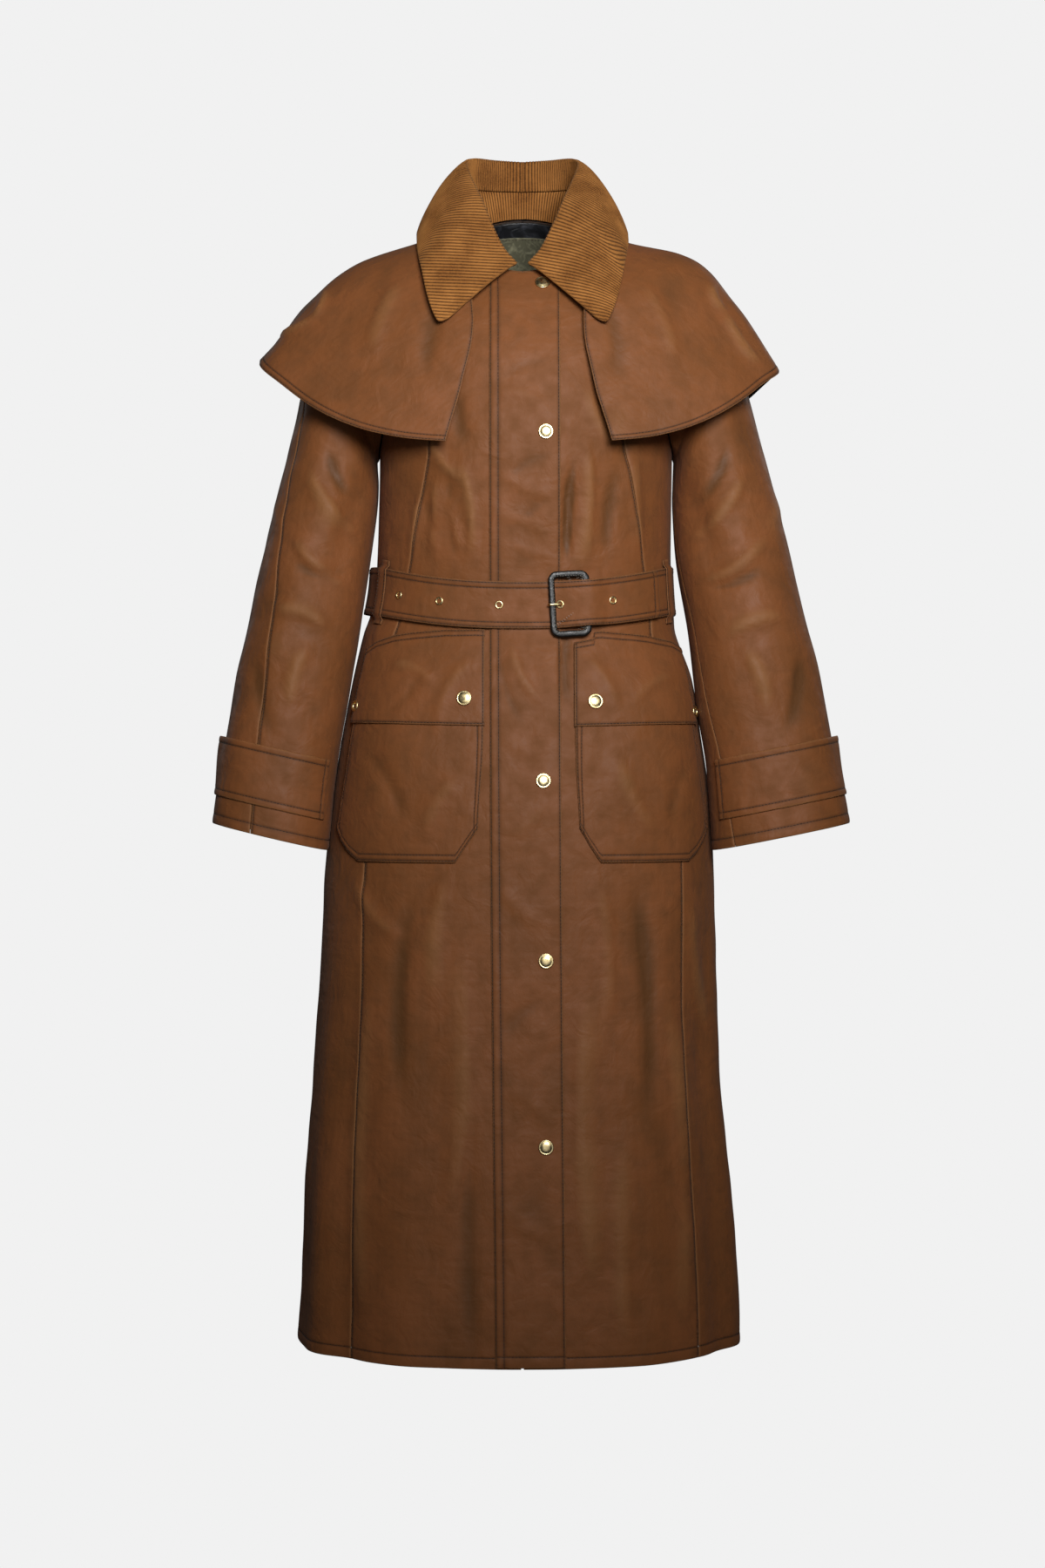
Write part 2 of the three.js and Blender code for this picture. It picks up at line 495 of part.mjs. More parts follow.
// A smooth skin sampled on one grid, so that layers laid over each other stay parallel.
class Surface {
  constructor(point, firstTurn, step, count, levels, facing) {
    Object.assign(this, { firstTurn, step, count, levels });
    const tiny = step * 0.02;
    const rise = (levels.at(-1) - levels[0]) * 0.001;
    this.grid = levels.map((level) =>
      Array.from({ length: count + 1 }, (_, i) => {
        const turn = firstTurn + i * step;
        const low = Math.max(level - rise, levels[0]);
        const high = Math.min(level + rise, levels.at(-1));
        const across = point(turn + tiny, level).sub(point(turn - tiny, level));
        const down = point(turn, high).sub(point(turn, low));
        return { spot: point(turn, level), normal: down.cross(across).normalize().multiplyScalar(facing) };
      }),
    );
  }
  at(turn, level, out) {
    const last = this.levels.length - 1;
    let row = 0;
    while (row < last - 1 && this.levels[row + 1] <= level) row++;
    const v = THREE.MathUtils.clamp((level - this.levels[row]) / (this.levels[row + 1] - this.levels[row]), 0, 1);
    let place = (turn - this.firstTurn) / this.step;
    if (this.count * this.step === 360) place -= this.count * Math.floor(place / this.count);
    const col = THREE.MathUtils.clamp(Math.floor(place + 1e-9), 0, this.count - 1);
    const u = THREE.MathUtils.clamp(place - col, 0, 1);
    const mix = (name) =>
      this.grid[row][col][name]
        .clone()
        .multiplyScalar((1 - u) * (1 - v))
        .addScaledVector(this.grid[row][col + 1][name], u * (1 - v))
        .addScaledVector(this.grid[row + 1][col][name], (1 - u) * v)
        .addScaledVector(this.grid[row + 1][col + 1][name], u * v);
    return mix("spot").addScaledVector(mix("normal").normalize(), out);
  }
  // Grid turns strictly between two turns, leaving out those close to either.
  turnsBetween(from, to) {
    const margin = this.step * 0.12;
    const found = [];
    const first = Math.ceil((from + margin - this.firstTurn) / this.step);
    for (let k = first; this.firstTurn + k * this.step < to - margin; k++) found.push(this.firstTurn + k * this.step);
    return found;
  }
  levelsBetween(from, to) {
    return [from, ...this.levels.filter((l) => l > from + 1e-6 && l < to - 1e-6), to];
  }
  // Degrees of turn that make one millimetre at a place.
  perMillimetre(turn, level) {
    const half = this.step / 4;
    return (2 * half) / this.at(turn + half, level, 0).distanceTo(this.at(turn - half, level, 0));
  }
  // Position, direction along the turn, direction up the piece and direction outwards at a place.
  frameAt(turn, level, out) {
    const spot = this.at(turn, level, out);
    const normal = this.at(turn, level, 1).sub(this.at(turn, level, 0)).normalize();
    const along = this.at(turn + 0.4, level, 0).sub(this.at(turn - 0.4, level, 0));
    along.addScaledVector(normal, -along.dot(normal)).normalize();
    return new THREE.Matrix4().makeBasis(along, normal.clone().cross(along), normal).setPosition(spot);
  }
}

const bodySurface = new Surface(bodyPoint, -180, BODY_STEP, 360 / BODY_STEP, BODY_LEVELS, 1);
const capeSurface = new Surface(capePoint, -180, CAPE_STEP, 360 / CAPE_STEP, CAPE_LEVELS, 1);
const sleeveSurface = {
  left: new Surface((t, r) => sleevePoint(1, t, r), -180, SLEEVE_STEP, 360 / SLEEVE_STEP, SLEEVE_LEVELS, 1),
  right: new Surface((t, r) => sleevePoint(-1, t, r), -180, SLEEVE_STEP, 360 / SLEEVE_STEP, SLEEVE_LEVELS, -1),
};
const collarSurface = new Surface(
  (p, r) => collarPoint(THREE.MathUtils.clamp(p, -1, 1), r),
  -1,
  2 / COLLAR_COLUMNS,
  COLLAR_COLUMNS,
  COLLAR_LEVELS,
  -1,
);
const standSurface = new Surface(standPoint, -STAND_END, (2 * STAND_END) / 24, 24, [0, 1], -1);

// Closes two faces of a piece of cloth into one solid. Each row is a list of points with a key that grows along it.
function closeCloth(rows) {
  const spots = [];
  const faces = [];
  const index = rows.map((row) =>
    row.map((p) => {
      spots.push(p.outer, p.inner);
      return spots.length - 2;
    }),
  );
  const tri = (a, b, c) => faces.push([a, b, c], [a + 1, c + 1, b + 1]);
  for (let r = 0; r + 1 < rows.length; r++) {
    const [top, low] = [index[r], index[r + 1]];
    let i = 0;
    let j = 0;
    while (i < top.length - 1 || j < low.length - 1) {
      const nextTop = i < top.length - 1 ? rows[r][i + 1].key : Infinity;
      const nextLow = j < low.length - 1 ? rows[r + 1][j + 1].key : Infinity;
      if (Math.abs(nextTop - nextLow) < 1e-6) {
        tri(top[i], low[j], low[j + 1]);
        tri(top[i], low[j + 1], top[i + 1]);
        i++;
        j++;
      } else if (nextTop < nextLow) {
        tri(top[i], low[j], top[i + 1]);
        i++;
      } else {
        tri(top[i], low[j], low[j + 1]);
        j++;
      }
    }
  }
  const rim = [...index[0]].reverse();
  for (let r = 1; r < rows.length; r++) rim.push(index[r][0]);
  rim.push(...index.at(-1).slice(1));
  for (let r = rows.length - 2; r > 0; r--) rim.push(index[r].at(-1));
  rim.forEach((a, k) => {
    const b = rim[(k + 1) % rim.length];
    faces.push([a, a + 1, b + 1], [a, b + 1, b]);
  });
  let volume = 0;
  for (const [a, b, c] of faces) volume += spots[a].dot(spots[b].clone().cross(spots[c]));
  const ordered = volume < 0 ? faces.map(([a, b, c]) => [a, c, b]) : faces;
  const geometry = new THREE.BufferGeometry().setFromPoints(spots);
  geometry.setIndex(ordered.flat());
  geometry.computeVertexNormals();
  return geometry;
}

// A piece of cloth on a surface: rows of levels, edges as turns, inner and outer face as heights over the surface.
function clothOn(surface, { levels, from, to, inner, outer }) {
  return closeCloth(
    levels.map((level) => {
      const [a, b] = [from(level), to(level)];
      return [a, ...surface.turnsBetween(a, b), b].map((turn) => ({
        key: turn,
        inner: surface.at(turn, level, inner(turn, level)),
        outer: surface.at(turn, level, outer(turn, level)),
      }));
    }),
  );
}

const even = (height) => () => height;
const beside = (surface, turn, level, millimetres) => turn + millimetres * surface.perMillimetre(turn, level);

// Solids and their boolean operations.
function toSolid(geometry, matrix = new THREE.Matrix4()) {
  const plain = geometry.clone().applyMatrix4(matrix);
  plain.deleteAttribute("normal");
  plain.deleteAttribute("uv");
  const merged = mergeVertices(plain, 1e-4);
  return new wasm.Manifold(
    new wasm.Mesh({
      numProp: 3,
      vertProperties: merged.attributes.position.array,
      triVerts: new Uint32Array(merged.index.array),
    }),
  );
}

function toGeometry(solid) {
  const mesh = solid.getMesh();
  const geometry = new THREE.BufferGeometry();
  geometry.setAttribute("position", new THREE.BufferAttribute(new Float32Array(mesh.vertProperties), 3));
  geometry.setIndex(new THREE.BufferAttribute(new Uint32Array(mesh.triVerts), 1));
  geometry.computeVertexNormals();
  return geometry;
}

const coat = new THREE.Group();
coat.name = "belted_caped_coat";

function add(name, finish, geometry, matrix) {
  const mesh = new THREE.Mesh(geometry, new THREE.MeshStandardMaterial(FINISHES[finish]));
  mesh.name = name;
  mesh.material.name = finish;
  mesh.material.side = THREE.FrontSide;
  if (matrix) mesh.applyMatrix4(matrix);
  coat.add(mesh);
}

const neck = BODY_RINGS[0].drop;
const hem = BODY_RINGS.at(-1).drop;
const armholeLevels = ARMHOLE.map((row) => row.drop).filter((drop) => drop > ARMHOLE_TOP && drop < ARMHOLE_END);
const panelLevels = [...new Set([...BODY_LEVELS, ...armholeLevels])].sort((a, b) => a - b);

// Edge of a panel at the shoulder seam, the armhole or the side seam.
function sideEdge(which, level) {
  if (level < ARMHOLE_TOP || level > ARMHOLE_END) return 90;
  return readStraight(ARMHOLE, "drop", level, which);
}

// Two fronts that meet under the storm fly, two side pieces and two backs with a seam down the middle. Each is cut
// above and below the waist, where the belt covers the seam.
const BACK_SEAM = 180;
const FRONT_MEETING = 0.15;
const frontSeam = (side, level) => readStraight(FRONT_SEAM, "drop", level, side);
const wall = { inner: even(-CLOTH), outer: even(0) };

function addPanel(name, levels, from, to) {
  const above = [...levels.filter((level) => level < BELT_DROP - SEAM), BELT_DROP - SEAM];
  const below = [BELT_DROP + SEAM, ...levels.filter((level) => level > BELT_DROP + SEAM)];
  add(name, "waxed_cotton", clothOn(bodySurface, { levels: above, from, to, ...wall }));
  add("skirt_" + name, "waxed_cotton", clothOn(bodySurface, { levels: below, from, to, ...wall }));
}

addPanel(
  "front_right",
  BODY_LEVELS,
  (level) => beside(bodySurface, -frontSeam("right", level), level, SEAM),
  () => -FRONT_MEETING,
);
addPanel(
  "front_left",
  BODY_LEVELS,
  () => FRONT_MEETING,
  (level) => beside(bodySurface, frontSeam("left", level), level, -SEAM),
);
addPanel(
  "side_front_right",
  panelLevels,
  (level) => beside(bodySurface, -sideEdge("front", level), level, SEAM),
  (level) => beside(bodySurface, -frontSeam("right", level), level, -SEAM),
);
addPanel(
  "side_front_left",
  panelLevels,
  (level) => beside(bodySurface, frontSeam("left", level), level, SEAM),
  (level) => beside(bodySurface, sideEdge("front", level), level, -SEAM),
);
addPanel(
  "back_left",
  panelLevels,
  (level) => beside(bodySurface, sideEdge("back", level), level, SEAM),
  (level) => beside(bodySurface, BACK_SEAM, level, -SEAM),
);
addPanel(
  "back_right",
  panelLevels,
  (level) => beside(bodySurface, BACK_SEAM, level, SEAM),
  (level) => beside(bodySurface, 360 - sideEdge("back", level), level, -SEAM),
);

// Storm fly over the meeting of the fronts.
const flyBase = AIR;
const flyTop = flyBase + CLOTH;
add(
  "storm_fly",
  "waxed_cotton",
  clothOn(bodySurface, {
    levels: bodySurface.levelsBetween(neck + FLY_TOP_DROP, hem - FLY_HEM_RISE),
    from: (level) => turnAtX(read(FLY, "drop", level, "sewn"), level),
    to: (level) => turnAtX(read(FLY, "drop", level, "free"), level),
    inner: even(flyBase),
    outer: even(flyTop),
  }),
);

// Lining and bare label patch inside the back neck.
add(
  "neck_lining",
  "lining_black",
  clothOn(bodySurface, {
    levels: bodySurface.levelsBetween(NECK_LINING.top, NECK_LINING.end),
    from: even(NECK_LINING.from),
    to: even(NECK_LINING.to),
    inner: even(-CLOTH - AIR - LINING),
    outer: even(-CLOTH - AIR),
  }),
);
add(
  "neck_patch",
  "patch_olive",
  clothOn(bodySurface, {
    levels: bodySurface.levelsBetween(NECK_PATCH.top, NECK_PATCH.end),
    from: even(NECK_PATCH.from),
    to: even(NECK_PATCH.to),
    inner: even(-CLOTH - 2 * AIR - 2 * LINING),
    outer: even(-CLOTH - 2 * AIR - LINING),
  }),
);

// Sleeves of two pieces each, and their cuff tabs.
for (const side of ["right", "left"]) {
  const surface = sleeveSurface[side];
  const outerSeam = (run) => read(SLEEVE_SEAMS, "run", run, side + "Outer");
  const innerSeam = (run) => read(SLEEVE_SEAMS, "run", run, side + "Inner");
  add(
    "sleeve_front_" + side,
    "waxed_cotton",
    clothOn(surface, {
      levels: SLEEVE_LEVELS,
      from: (run) => beside(surface, innerSeam(run), run, 1.5 * SEAM),
      to: (run) => beside(surface, outerSeam(run), run, -1.5 * SEAM),
      ...wall,
    }),
  );
  add(
    "sleeve_back_" + side,
    "waxed_cotton",
    clothOn(surface, {
      levels: SLEEVE_LEVELS,
      from: (run) => beside(surface, outerSeam(run), run, SEAM),
      to: (run) => beside(surface, innerSeam(run) + 360, run, -SEAM),
      ...wall,
    }),
  );
  const tab = TABS[side];
  const lift = (turn, run) =>
    AIR + TAB_FLARE * bell(turn - 92, 12) * THREE.MathUtils.smoothstep(TAB_END - run, 0, TAB_END - TAB_TOP);
  add(
    "cuff_tab_" + side,
    "waxed_cotton",
    clothOn(surface, {
      levels: surface.levelsBetween(TAB_TOP, TAB_END),
      from: even(tab.from),
      to: even(tab.to),
      inner: lift,
      outer: (turn, run) => lift(turn, run) + CLOTH,
    }),
  );
}

// Shoulder cape and its lining.
const capeFrom = (reach) => read(CAPE_FRONT, "reach", reach, "left");
const capeTo = (reach) => 360 - read(CAPE_FRONT, "reach", reach, "right");
const capeMiddle = (gap) => (reach) => beside(capeSurface, BACK_SEAM, reach, gap);
add(
  "cape_left",
  "waxed_cotton",
  clothOn(capeSurface, { levels: CAPE_LEVELS, from: capeFrom, to: capeMiddle(-SEAM), ...wall }),
);
add(
  "cape_right",
  "waxed_cotton",
  clothOn(capeSurface, { levels: CAPE_LEVELS, from: capeMiddle(SEAM), to: capeTo, ...wall }),
);
add(
  "cape_lining",
  "lining_black",
  clothOn(capeSurface, {
    levels: CAPE_LEVELS.slice(0, -1).concat(0.985),
    from: (reach) => beside(capeSurface, capeFrom(reach), reach, 3),
    to: (reach) => beside(capeSurface, capeTo(reach), reach, -3),
    inner: even(-CLOTH - AIR - LINING),
    outer: even(-CLOTH - AIR),
  }),
);

// Corduroy collar and stand.
add(
  "collar",
  "corduroy",
  clothOn(collarSurface, {
    levels: COLLAR_LEVELS,
    from: even(-1),
    to: even(1),
    inner: even(-CORD),
    outer: even(0),
  }),
);
add(
  "collar_stand",
  "corduroy",
  clothOn(standSurface, {
    levels: [0, 1],
    from: even(-STAND_END),
    to: even(STAND_END),
    inner: even(-CORD),
    outer: even(0),
  }),
);

// Pockets and flaps.
const pocketEdge = (rows, level, column) => turnAtX(readStraight(rows, "drop", level, column), level);
const swellOf = (side, turn, level) => {
  const rows = POCKETS[side];
  const inner = pocketEdge(rows, level, "inner");
  const outer = pocketEdge(rows, level, "outer");
  const across = THREE.MathUtils.clamp((turn - inner) / (outer - inner), 0, 1);
  const down = THREE.MathUtils.clamp((level - rows[0].drop) / (rows.at(-1).drop - rows[0].drop), 0, 1);
  return POCKET_SWELL * Math.sin(across * Math.PI) ** 0.8 * Math.sin(down * Math.PI) ** 0.8;
};
for (const side of ["right", "left"]) {
  const pieces = [
    { name: "pocket_", rows: POCKETS[side], base: POCKET_BASE },
    { name: "flap_", rows: FLAPS[side], base: POCKET_BASE + CLOTH + FLAP_AIR },
  ];
  for (const { name, rows, base } of pieces) {
    const drops = [...bodySurface.levelsBetween(rows[0].drop, rows.at(-1).drop), ...rows.map((row) => row.drop)];
    const levels = [...new Set(drops)].sort((a, b) => a - b);
    const ends = ["inner", "outer"].map((column) => (level) => pocketEdge(rows, level, column));
    const [from, to] = side === "left" ? ends : ends.reverse();
    add(
      name + side,
      "waxed_cotton",
      clothOn(bodySurface, {
        levels,
        from,
        to,
        inner: (turn, level) => base + swellOf(side, turn, level),
        outer: (turn, level) => base + CLOTH + swellOf(side, turn, level),
      }),
    );
  }
}

// Belt. It starts under the buckle, goes round the back and over the front, through the buckle to its tip.
const beltTop = BELT_DROP - BELT_WIDTH / 2;
const beltEnd = BELT_DROP + BELT_WIDTH / 2;
const beltTurn = (x) => turnAtX(x, BELT_DROP);
const startTurn = beltTurn(BELT_START_X);
const tipTurn = beltTurn(BELT_TIP_X) + 360;
const underBuckle = BELT_OVER_FLY + STRAP + AIR + BUCKLE_CLEAR;
const overBuckle = underBuckle + BUCKLE_THICK + AIR + BUCKLE_CLEAR;
const BELT_PATH = [
  { turn: startTurn, height: BELT_OVER_FLY },
  { turn: 60, height: BELT_AT_BACK + 1.6 },
  { turn: BELT_RIDES_DOWN, height: BELT_AT_BACK },
  { turn: BELT_BULGE_TURN - 24, height: BELT_AT_BACK },
  { turn: BELT_BULGE_TURN - 12, height: BELT_BULGE * 0.6 },
  { turn: BELT_BULGE_TURN, height: BELT_BULGE },
  { turn: BELT_BULGE_TURN + 12, height: BELT_BULGE * 0.5 },
  { turn: 360 - BELT_RIDES_DOWN, height: BELT_AT_BACK },
  { turn: 360 - 40, height: BELT_OVER_FLY },
  { turn: 360 + beltTurn(BUCKLE_LEFT_X + BUCKLE_BAR + 1), height: BELT_OVER_FLY },
  { turn: 360 + beltTurn(BUCKLE_RIGHT_X - BUCKLE_BAR - 1), height: overBuckle },
  { turn: 360 + beltTurn(BUCKLE_RIGHT_X + 1), height: overBuckle },
  { turn: 360 + beltTurn(BUCKLE_RIGHT_X + 16), height: BELT_OVER_FLY + STRAP + 2 * AIR },
  { turn: tipTurn, height: BELT_AT_BACK + 1.6 + STRAP + 3 * AIR },
];
const beltHeight = (turn) => readStraight(BELT_PATH, "turn", turn, "height");
const beltKeys = BELT_PATH.map((row) => row.turn);
const beltTurns = [...beltKeys, ...bodySurface.turnsBetween(startTurn, tipTurn)]
  .sort((a, b) => a - b)
  .filter((turn, i, all) => i === 0 || turn - all[i - 1] > 0.6 || beltKeys.includes(turn));
const beltRow = (level, tipIn) =>
  beltTurns.map((turn) => {
    const placed = turn === tipTurn ? turn - tipIn * bodySurface.perMillimetre(turn, level) : turn;
    return {
      key: turn,
      inner: bodySurface.at(placed, level, beltHeight(turn)),
      outer: bodySurface.at(placed, level, beltHeight(turn) + STRAP),
    };
  });
const holeCutter = new THREE.CylinderGeometry(EYELET_CUT, EYELET_CUT, 12, 8).rotateX(Math.PI / 2);
let beltSolid = toSolid(
  closeCloth([beltRow(beltTop, BELT_POINT), beltRow(BELT_DROP, 0), beltRow(beltEnd, BELT_POINT)]),
);
const eyeletTurns = EYELETS_X.map((x) => beltTurn(x) + 360);
for (const turn of eyeletTurns) {
  const place = bodySurface.frameAt(turn, BELT_DROP, beltHeight(turn) + STRAP / 2);
  beltSolid = beltSolid.subtract(toSolid(holeCutter, place));
}
add("belt", "waxed_cotton", toGeometry(beltSolid));

function ring(outer, hole, thick, segments) {
  const shape = new THREE.Shape().absarc(0, 0, outer, 0, 2 * Math.PI);
  shape.holes.push(new THREE.Path().absarc(0, 0, hole, 0, 2 * Math.PI, true));
  return new THREE.ExtrudeGeometry(shape, { depth: thick, bevelEnabled: false, curveSegments: segments });
}

// Frame at a point of the belt that follows its slope.
function beltFrame(turn, lift) {
  const here = bodySurface.at(turn, BELT_DROP, beltHeight(turn));
  const before = bodySurface.at(turn - 1, BELT_DROP, beltHeight(turn - 1));
  const after = bodySurface.at(turn + 1, BELT_DROP, beltHeight(turn + 1));
  const along = after.sub(before).normalize();
  const up = bodySurface.at(turn, beltTop, 0).sub(bodySurface.at(turn, beltEnd, 0));
  up.addScaledVector(along, -up.dot(along)).normalize();
  const normal = along.clone().cross(up);
  return new THREE.Matrix4().makeBasis(along, up, normal).setPosition(here.addScaledVector(normal, lift));
}

eyeletTurns.forEach((turn, i) => {
  add(
    "belt_eyelet_" + (i + 1),
    "brass",
    ring(EYELET_RADIUS, EYELET_HOLE, EYELET_THICK, 5),
    beltFrame(turn, STRAP + AIR + 0.15),
  );
});

// Leather-covered buckle and its prong. The frame lies over the belt on its left and under it on its right.
const buckleMid = (BUCKLE_LEFT_X + BUCKLE_RIGHT_X) / 2;
const buckleWide = BUCKLE_RIGHT_X - BUCKLE_LEFT_X;
function roundedRectangle(width, height, corner, Kind) {
  const [w, h] = [width / 2, height / 2];
  return new Kind()
    .moveTo(-w + corner, -h)
    .lineTo(w - corner, -h)
    .quadraticCurveTo(w, -h, w, -h + corner)
    .lineTo(w, h - corner)
    .quadraticCurveTo(w, h, w - corner, h)
    .lineTo(-w + corner, h)
    .quadraticCurveTo(-w, h, -w, h - corner)
    .lineTo(-w, -h + corner)
    .quadraticCurveTo(-w, -h, -w + corner, -h);
}
const frameShape = roundedRectangle(buckleWide, BUCKLE_HEIGHT, BUCKLE_CORNER, THREE.Shape);
const innerWide = buckleWide - 2 * BUCKLE_BAR;
const innerHigh = BUCKLE_HEIGHT - 2 * BUCKLE_BAR;
frameShape.holes.push(roundedRectangle(innerWide, innerHigh, 2, THREE.Path));
const buckleGeometry = new THREE.ExtrudeGeometry(frameShape, {
  depth: BUCKLE_THICK,
  bevelEnabled: false,
  curveSegments: 3,
});
const buckleTurn = beltTurn(buckleMid);
const buckleFrame = bodySurface.frameAt(buckleTurn, BELT_DROP, underBuckle);
add("buckle", "buckle_leather", buckleGeometry, buckleFrame);

const holeX = EYELETS_X[3] - buckleMid;
const [prongLeft, prongLow, prongHigh] = [-buckleWide / 2 - 1, BUCKLE_THICK + AIR, BUCKLE_THICK + AIR + PRONG_THICK];
const prongShape = new THREE.Shape()
  .moveTo(prongLeft, prongLow)
  .lineTo(holeX - PRONG_THICK / 2, prongLow)
  .lineTo(holeX - PRONG_THICK / 2, -PRONG_DEPTH)
  .lineTo(holeX + PRONG_THICK / 2, -PRONG_DEPTH)
  .lineTo(holeX + PRONG_THICK / 2, prongHigh)
  .lineTo(prongLeft, prongHigh)
  .closePath();
const prongGeometry = new THREE.ExtrudeGeometry(prongShape, { depth: PRONG_WIDTH, bevelEnabled: false })
  .translate(0, 0, -PRONG_WIDTH / 2)
  .rotateX(Math.PI / 2);
add("buckle_prong", "brass", prongGeometry, buckleFrame);

// Belt loops at both sides, standing off the body just above and below the belt.
const LOOPS = { right: -beltTurn(118) - 18, left: beltTurn(146) };
for (const side of ["right", "left"]) {
  const centre = side === "left" ? LOOPS.left : LOOPS.right;
  const halfTurn = (LOOP_WIDTH / 2) * bodySurface.perMillimetre(centre, BELT_DROP);
  const over = beltHeight(centre < 0 ? centre + 360 : centre) + STRAP + 2 * AIR;
  const heights = [
    { drop: beltTop - LOOP_REACH, lift: AIR },
    { drop: beltTop - 3, lift: AIR },
    { drop: beltTop - 1.2, lift: over },
    { drop: beltEnd + 1.2, lift: over },
    { drop: beltEnd + 3, lift: AIR },
    { drop: beltEnd + LOOP_REACH, lift: AIR },
  ];
  const lift = (turn, level) => readStraight(heights, "drop", level, "lift");
  const drops = [...bodySurface.levelsBetween(heights[0].drop, heights.at(-1).drop), ...heights.map((h) => h.drop)];
  add(
    "belt_loop_" + side,
    "waxed_cotton",
    clothOn(bodySurface, {
      levels: [...new Set(drops)].sort((a, b) => a - b),
      from: even(centre - halfTurn),
      to: even(centre + halfTurn),
      inner: lift,
      outer: (turn, level) => lift(turn, level) + CLOTH,
    }),
  );
}

// Press studs and vent rings.
function levelAt(turn, z) {
  let [low, high] = [neck, hem];
  for (let i = 0; i < 40; i++) {
    const middle = (low + high) / 2;
    if (bodySurface.at(turn, middle, 0).z > z) low = middle;
    else high = middle;
  }
  return (low + high) / 2;
}
function placeOnBody({ x, z }, lift) {
  let turn = turnAtX(x, -z);
  const level = levelAt(turn, z);
  turn = turnAtX(x, level);
  return bodySurface.frameAt(turn, level, lift(turn, level));
}
const stud = () =>
  new THREE.CylinderGeometry(STUD_RIM, STUD_RADIUS, STUD_HEIGHT, 12).rotateX(Math.PI / 2).translate(0, 0, STUD_HEIGHT / 2);
FLY_STUDS.forEach((place, i) => {
  add("fly_stud_" + (i + 1), "brass", stud(), placeOnBody(place, even(flyTop + AIR)));
});
for (const side of ["right", "left"]) {
  const overFlap = (turn, level) => POCKET_BASE + FLAP_AIR + AIR + 2 * CLOTH + swellOf(side, turn, level);
  add("flap_stud_" + side, "brass", stud(), placeOnBody(FLAP_STUDS[side], overFlap));
  add(
    "vent_ring_" + side,
    "brass",
    ring(VENT_RADIUS, VENT_HOLE, VENT_THICK, 5),
    placeOnBody(VENT_RINGS[side], (turn, level) => overFlap(turn, level) + 0.2),
  );
}

export default coat;
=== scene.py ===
"""Long belted coat of waxed cotton with a shoulder cape and a corduroy collar, filled out with no wearer.

Sizes are millimetres until a mesh is made. +Z is up, the front faces -Y and the wearer's left side is +X.
A "turn" is the angle round the body in degrees, 0 at the centre front and 90 at the wearer's left side. A
"drop" is the height below the shoulders, measured down the side line. A sleeve has turns round the arm and
runs down it.
"""
import logging
import math
from collections.abc import Callable, Sequence
from dataclasses import dataclass, field
from enum import Enum

import bpy
import numpy as np
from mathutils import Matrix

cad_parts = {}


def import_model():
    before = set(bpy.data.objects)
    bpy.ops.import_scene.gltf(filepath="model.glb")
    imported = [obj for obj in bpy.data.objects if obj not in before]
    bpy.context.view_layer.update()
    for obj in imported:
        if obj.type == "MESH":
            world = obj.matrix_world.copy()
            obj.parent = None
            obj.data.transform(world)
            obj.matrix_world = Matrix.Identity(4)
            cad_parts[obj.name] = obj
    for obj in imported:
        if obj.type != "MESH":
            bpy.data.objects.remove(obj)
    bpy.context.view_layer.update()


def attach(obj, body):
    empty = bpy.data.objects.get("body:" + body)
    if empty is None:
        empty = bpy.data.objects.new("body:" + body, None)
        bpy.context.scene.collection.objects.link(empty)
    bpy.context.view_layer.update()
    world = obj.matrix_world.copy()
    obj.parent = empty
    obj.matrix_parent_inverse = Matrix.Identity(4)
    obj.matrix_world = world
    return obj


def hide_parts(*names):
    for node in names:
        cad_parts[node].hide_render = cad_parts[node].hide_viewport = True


LOG = logging.getLogger("coat")
Array = np.ndarray
Curve = Callable[[Array], Array]
Height = Callable[[Array, Array], Array]
Place = Callable[[Array, Array], tuple[Array, Array]]
Material = bpy.types.Material
Piece = bpy.types.Object
Tree = bpy.types.NodeTree
Socket = bpy.types.NodeSocket
Sockets = dict[str | int, object]
MM = 0.001
RAD = math.pi / 180
SIDES = {"right": -1, "left": 1}

CLOTH = 1.6
CORD = 2.4
LINING = 1.2
STRAP = 1.8
AIR = 0.35
SEAM = 0.2
# How far the lines of stitching lie from an edge: at seams and hems, at laps, and over the fly.
EDGE_STITCH = 1.6
LAP_STITCH = 1.8
FLY_STITCH = 1.2


def smoothstep(value: Array, low: float, high: float) -> Array:
    """A share that rises smoothly from 0 at low to 1 at high."""
    t = np.clip((value - low) / (high - low), 0.0, 1.0)
    return t * t * (3 - 2 * t)


def bell(away: Array, spread: float) -> Array:
    """1 at no distance, falling off smoothly over the spread."""
    return np.exp(-((away / spread) ** 2))


def wrap_turn(turn: Array) -> Array:
    """The same turn between -180 and 180 degrees."""
    return turn - 360 * np.floor((turn + 180) / 360)


def signed_power(value: Array, power: Array) -> Array:
    """A power that keeps the sign of its value."""
    return np.sign(value) * np.abs(value) ** power


def mix(first: Array, second: Array, share: Array) -> Array:
    """The value that lies a share of the way from the first to the second."""
    return first + (second - first) * share


def unit(vectors: Array) -> Array:
    """The vectors at length 1."""
    return vectors / np.maximum(np.linalg.norm(vectors, axis=-1, keepdims=True), 1e-9)


def spots(x: Array, y: Array, z: Array) -> Array:
    """Points from their three coordinates."""
    return np.stack(np.broadcast_arrays(x, y, z), axis=-1)


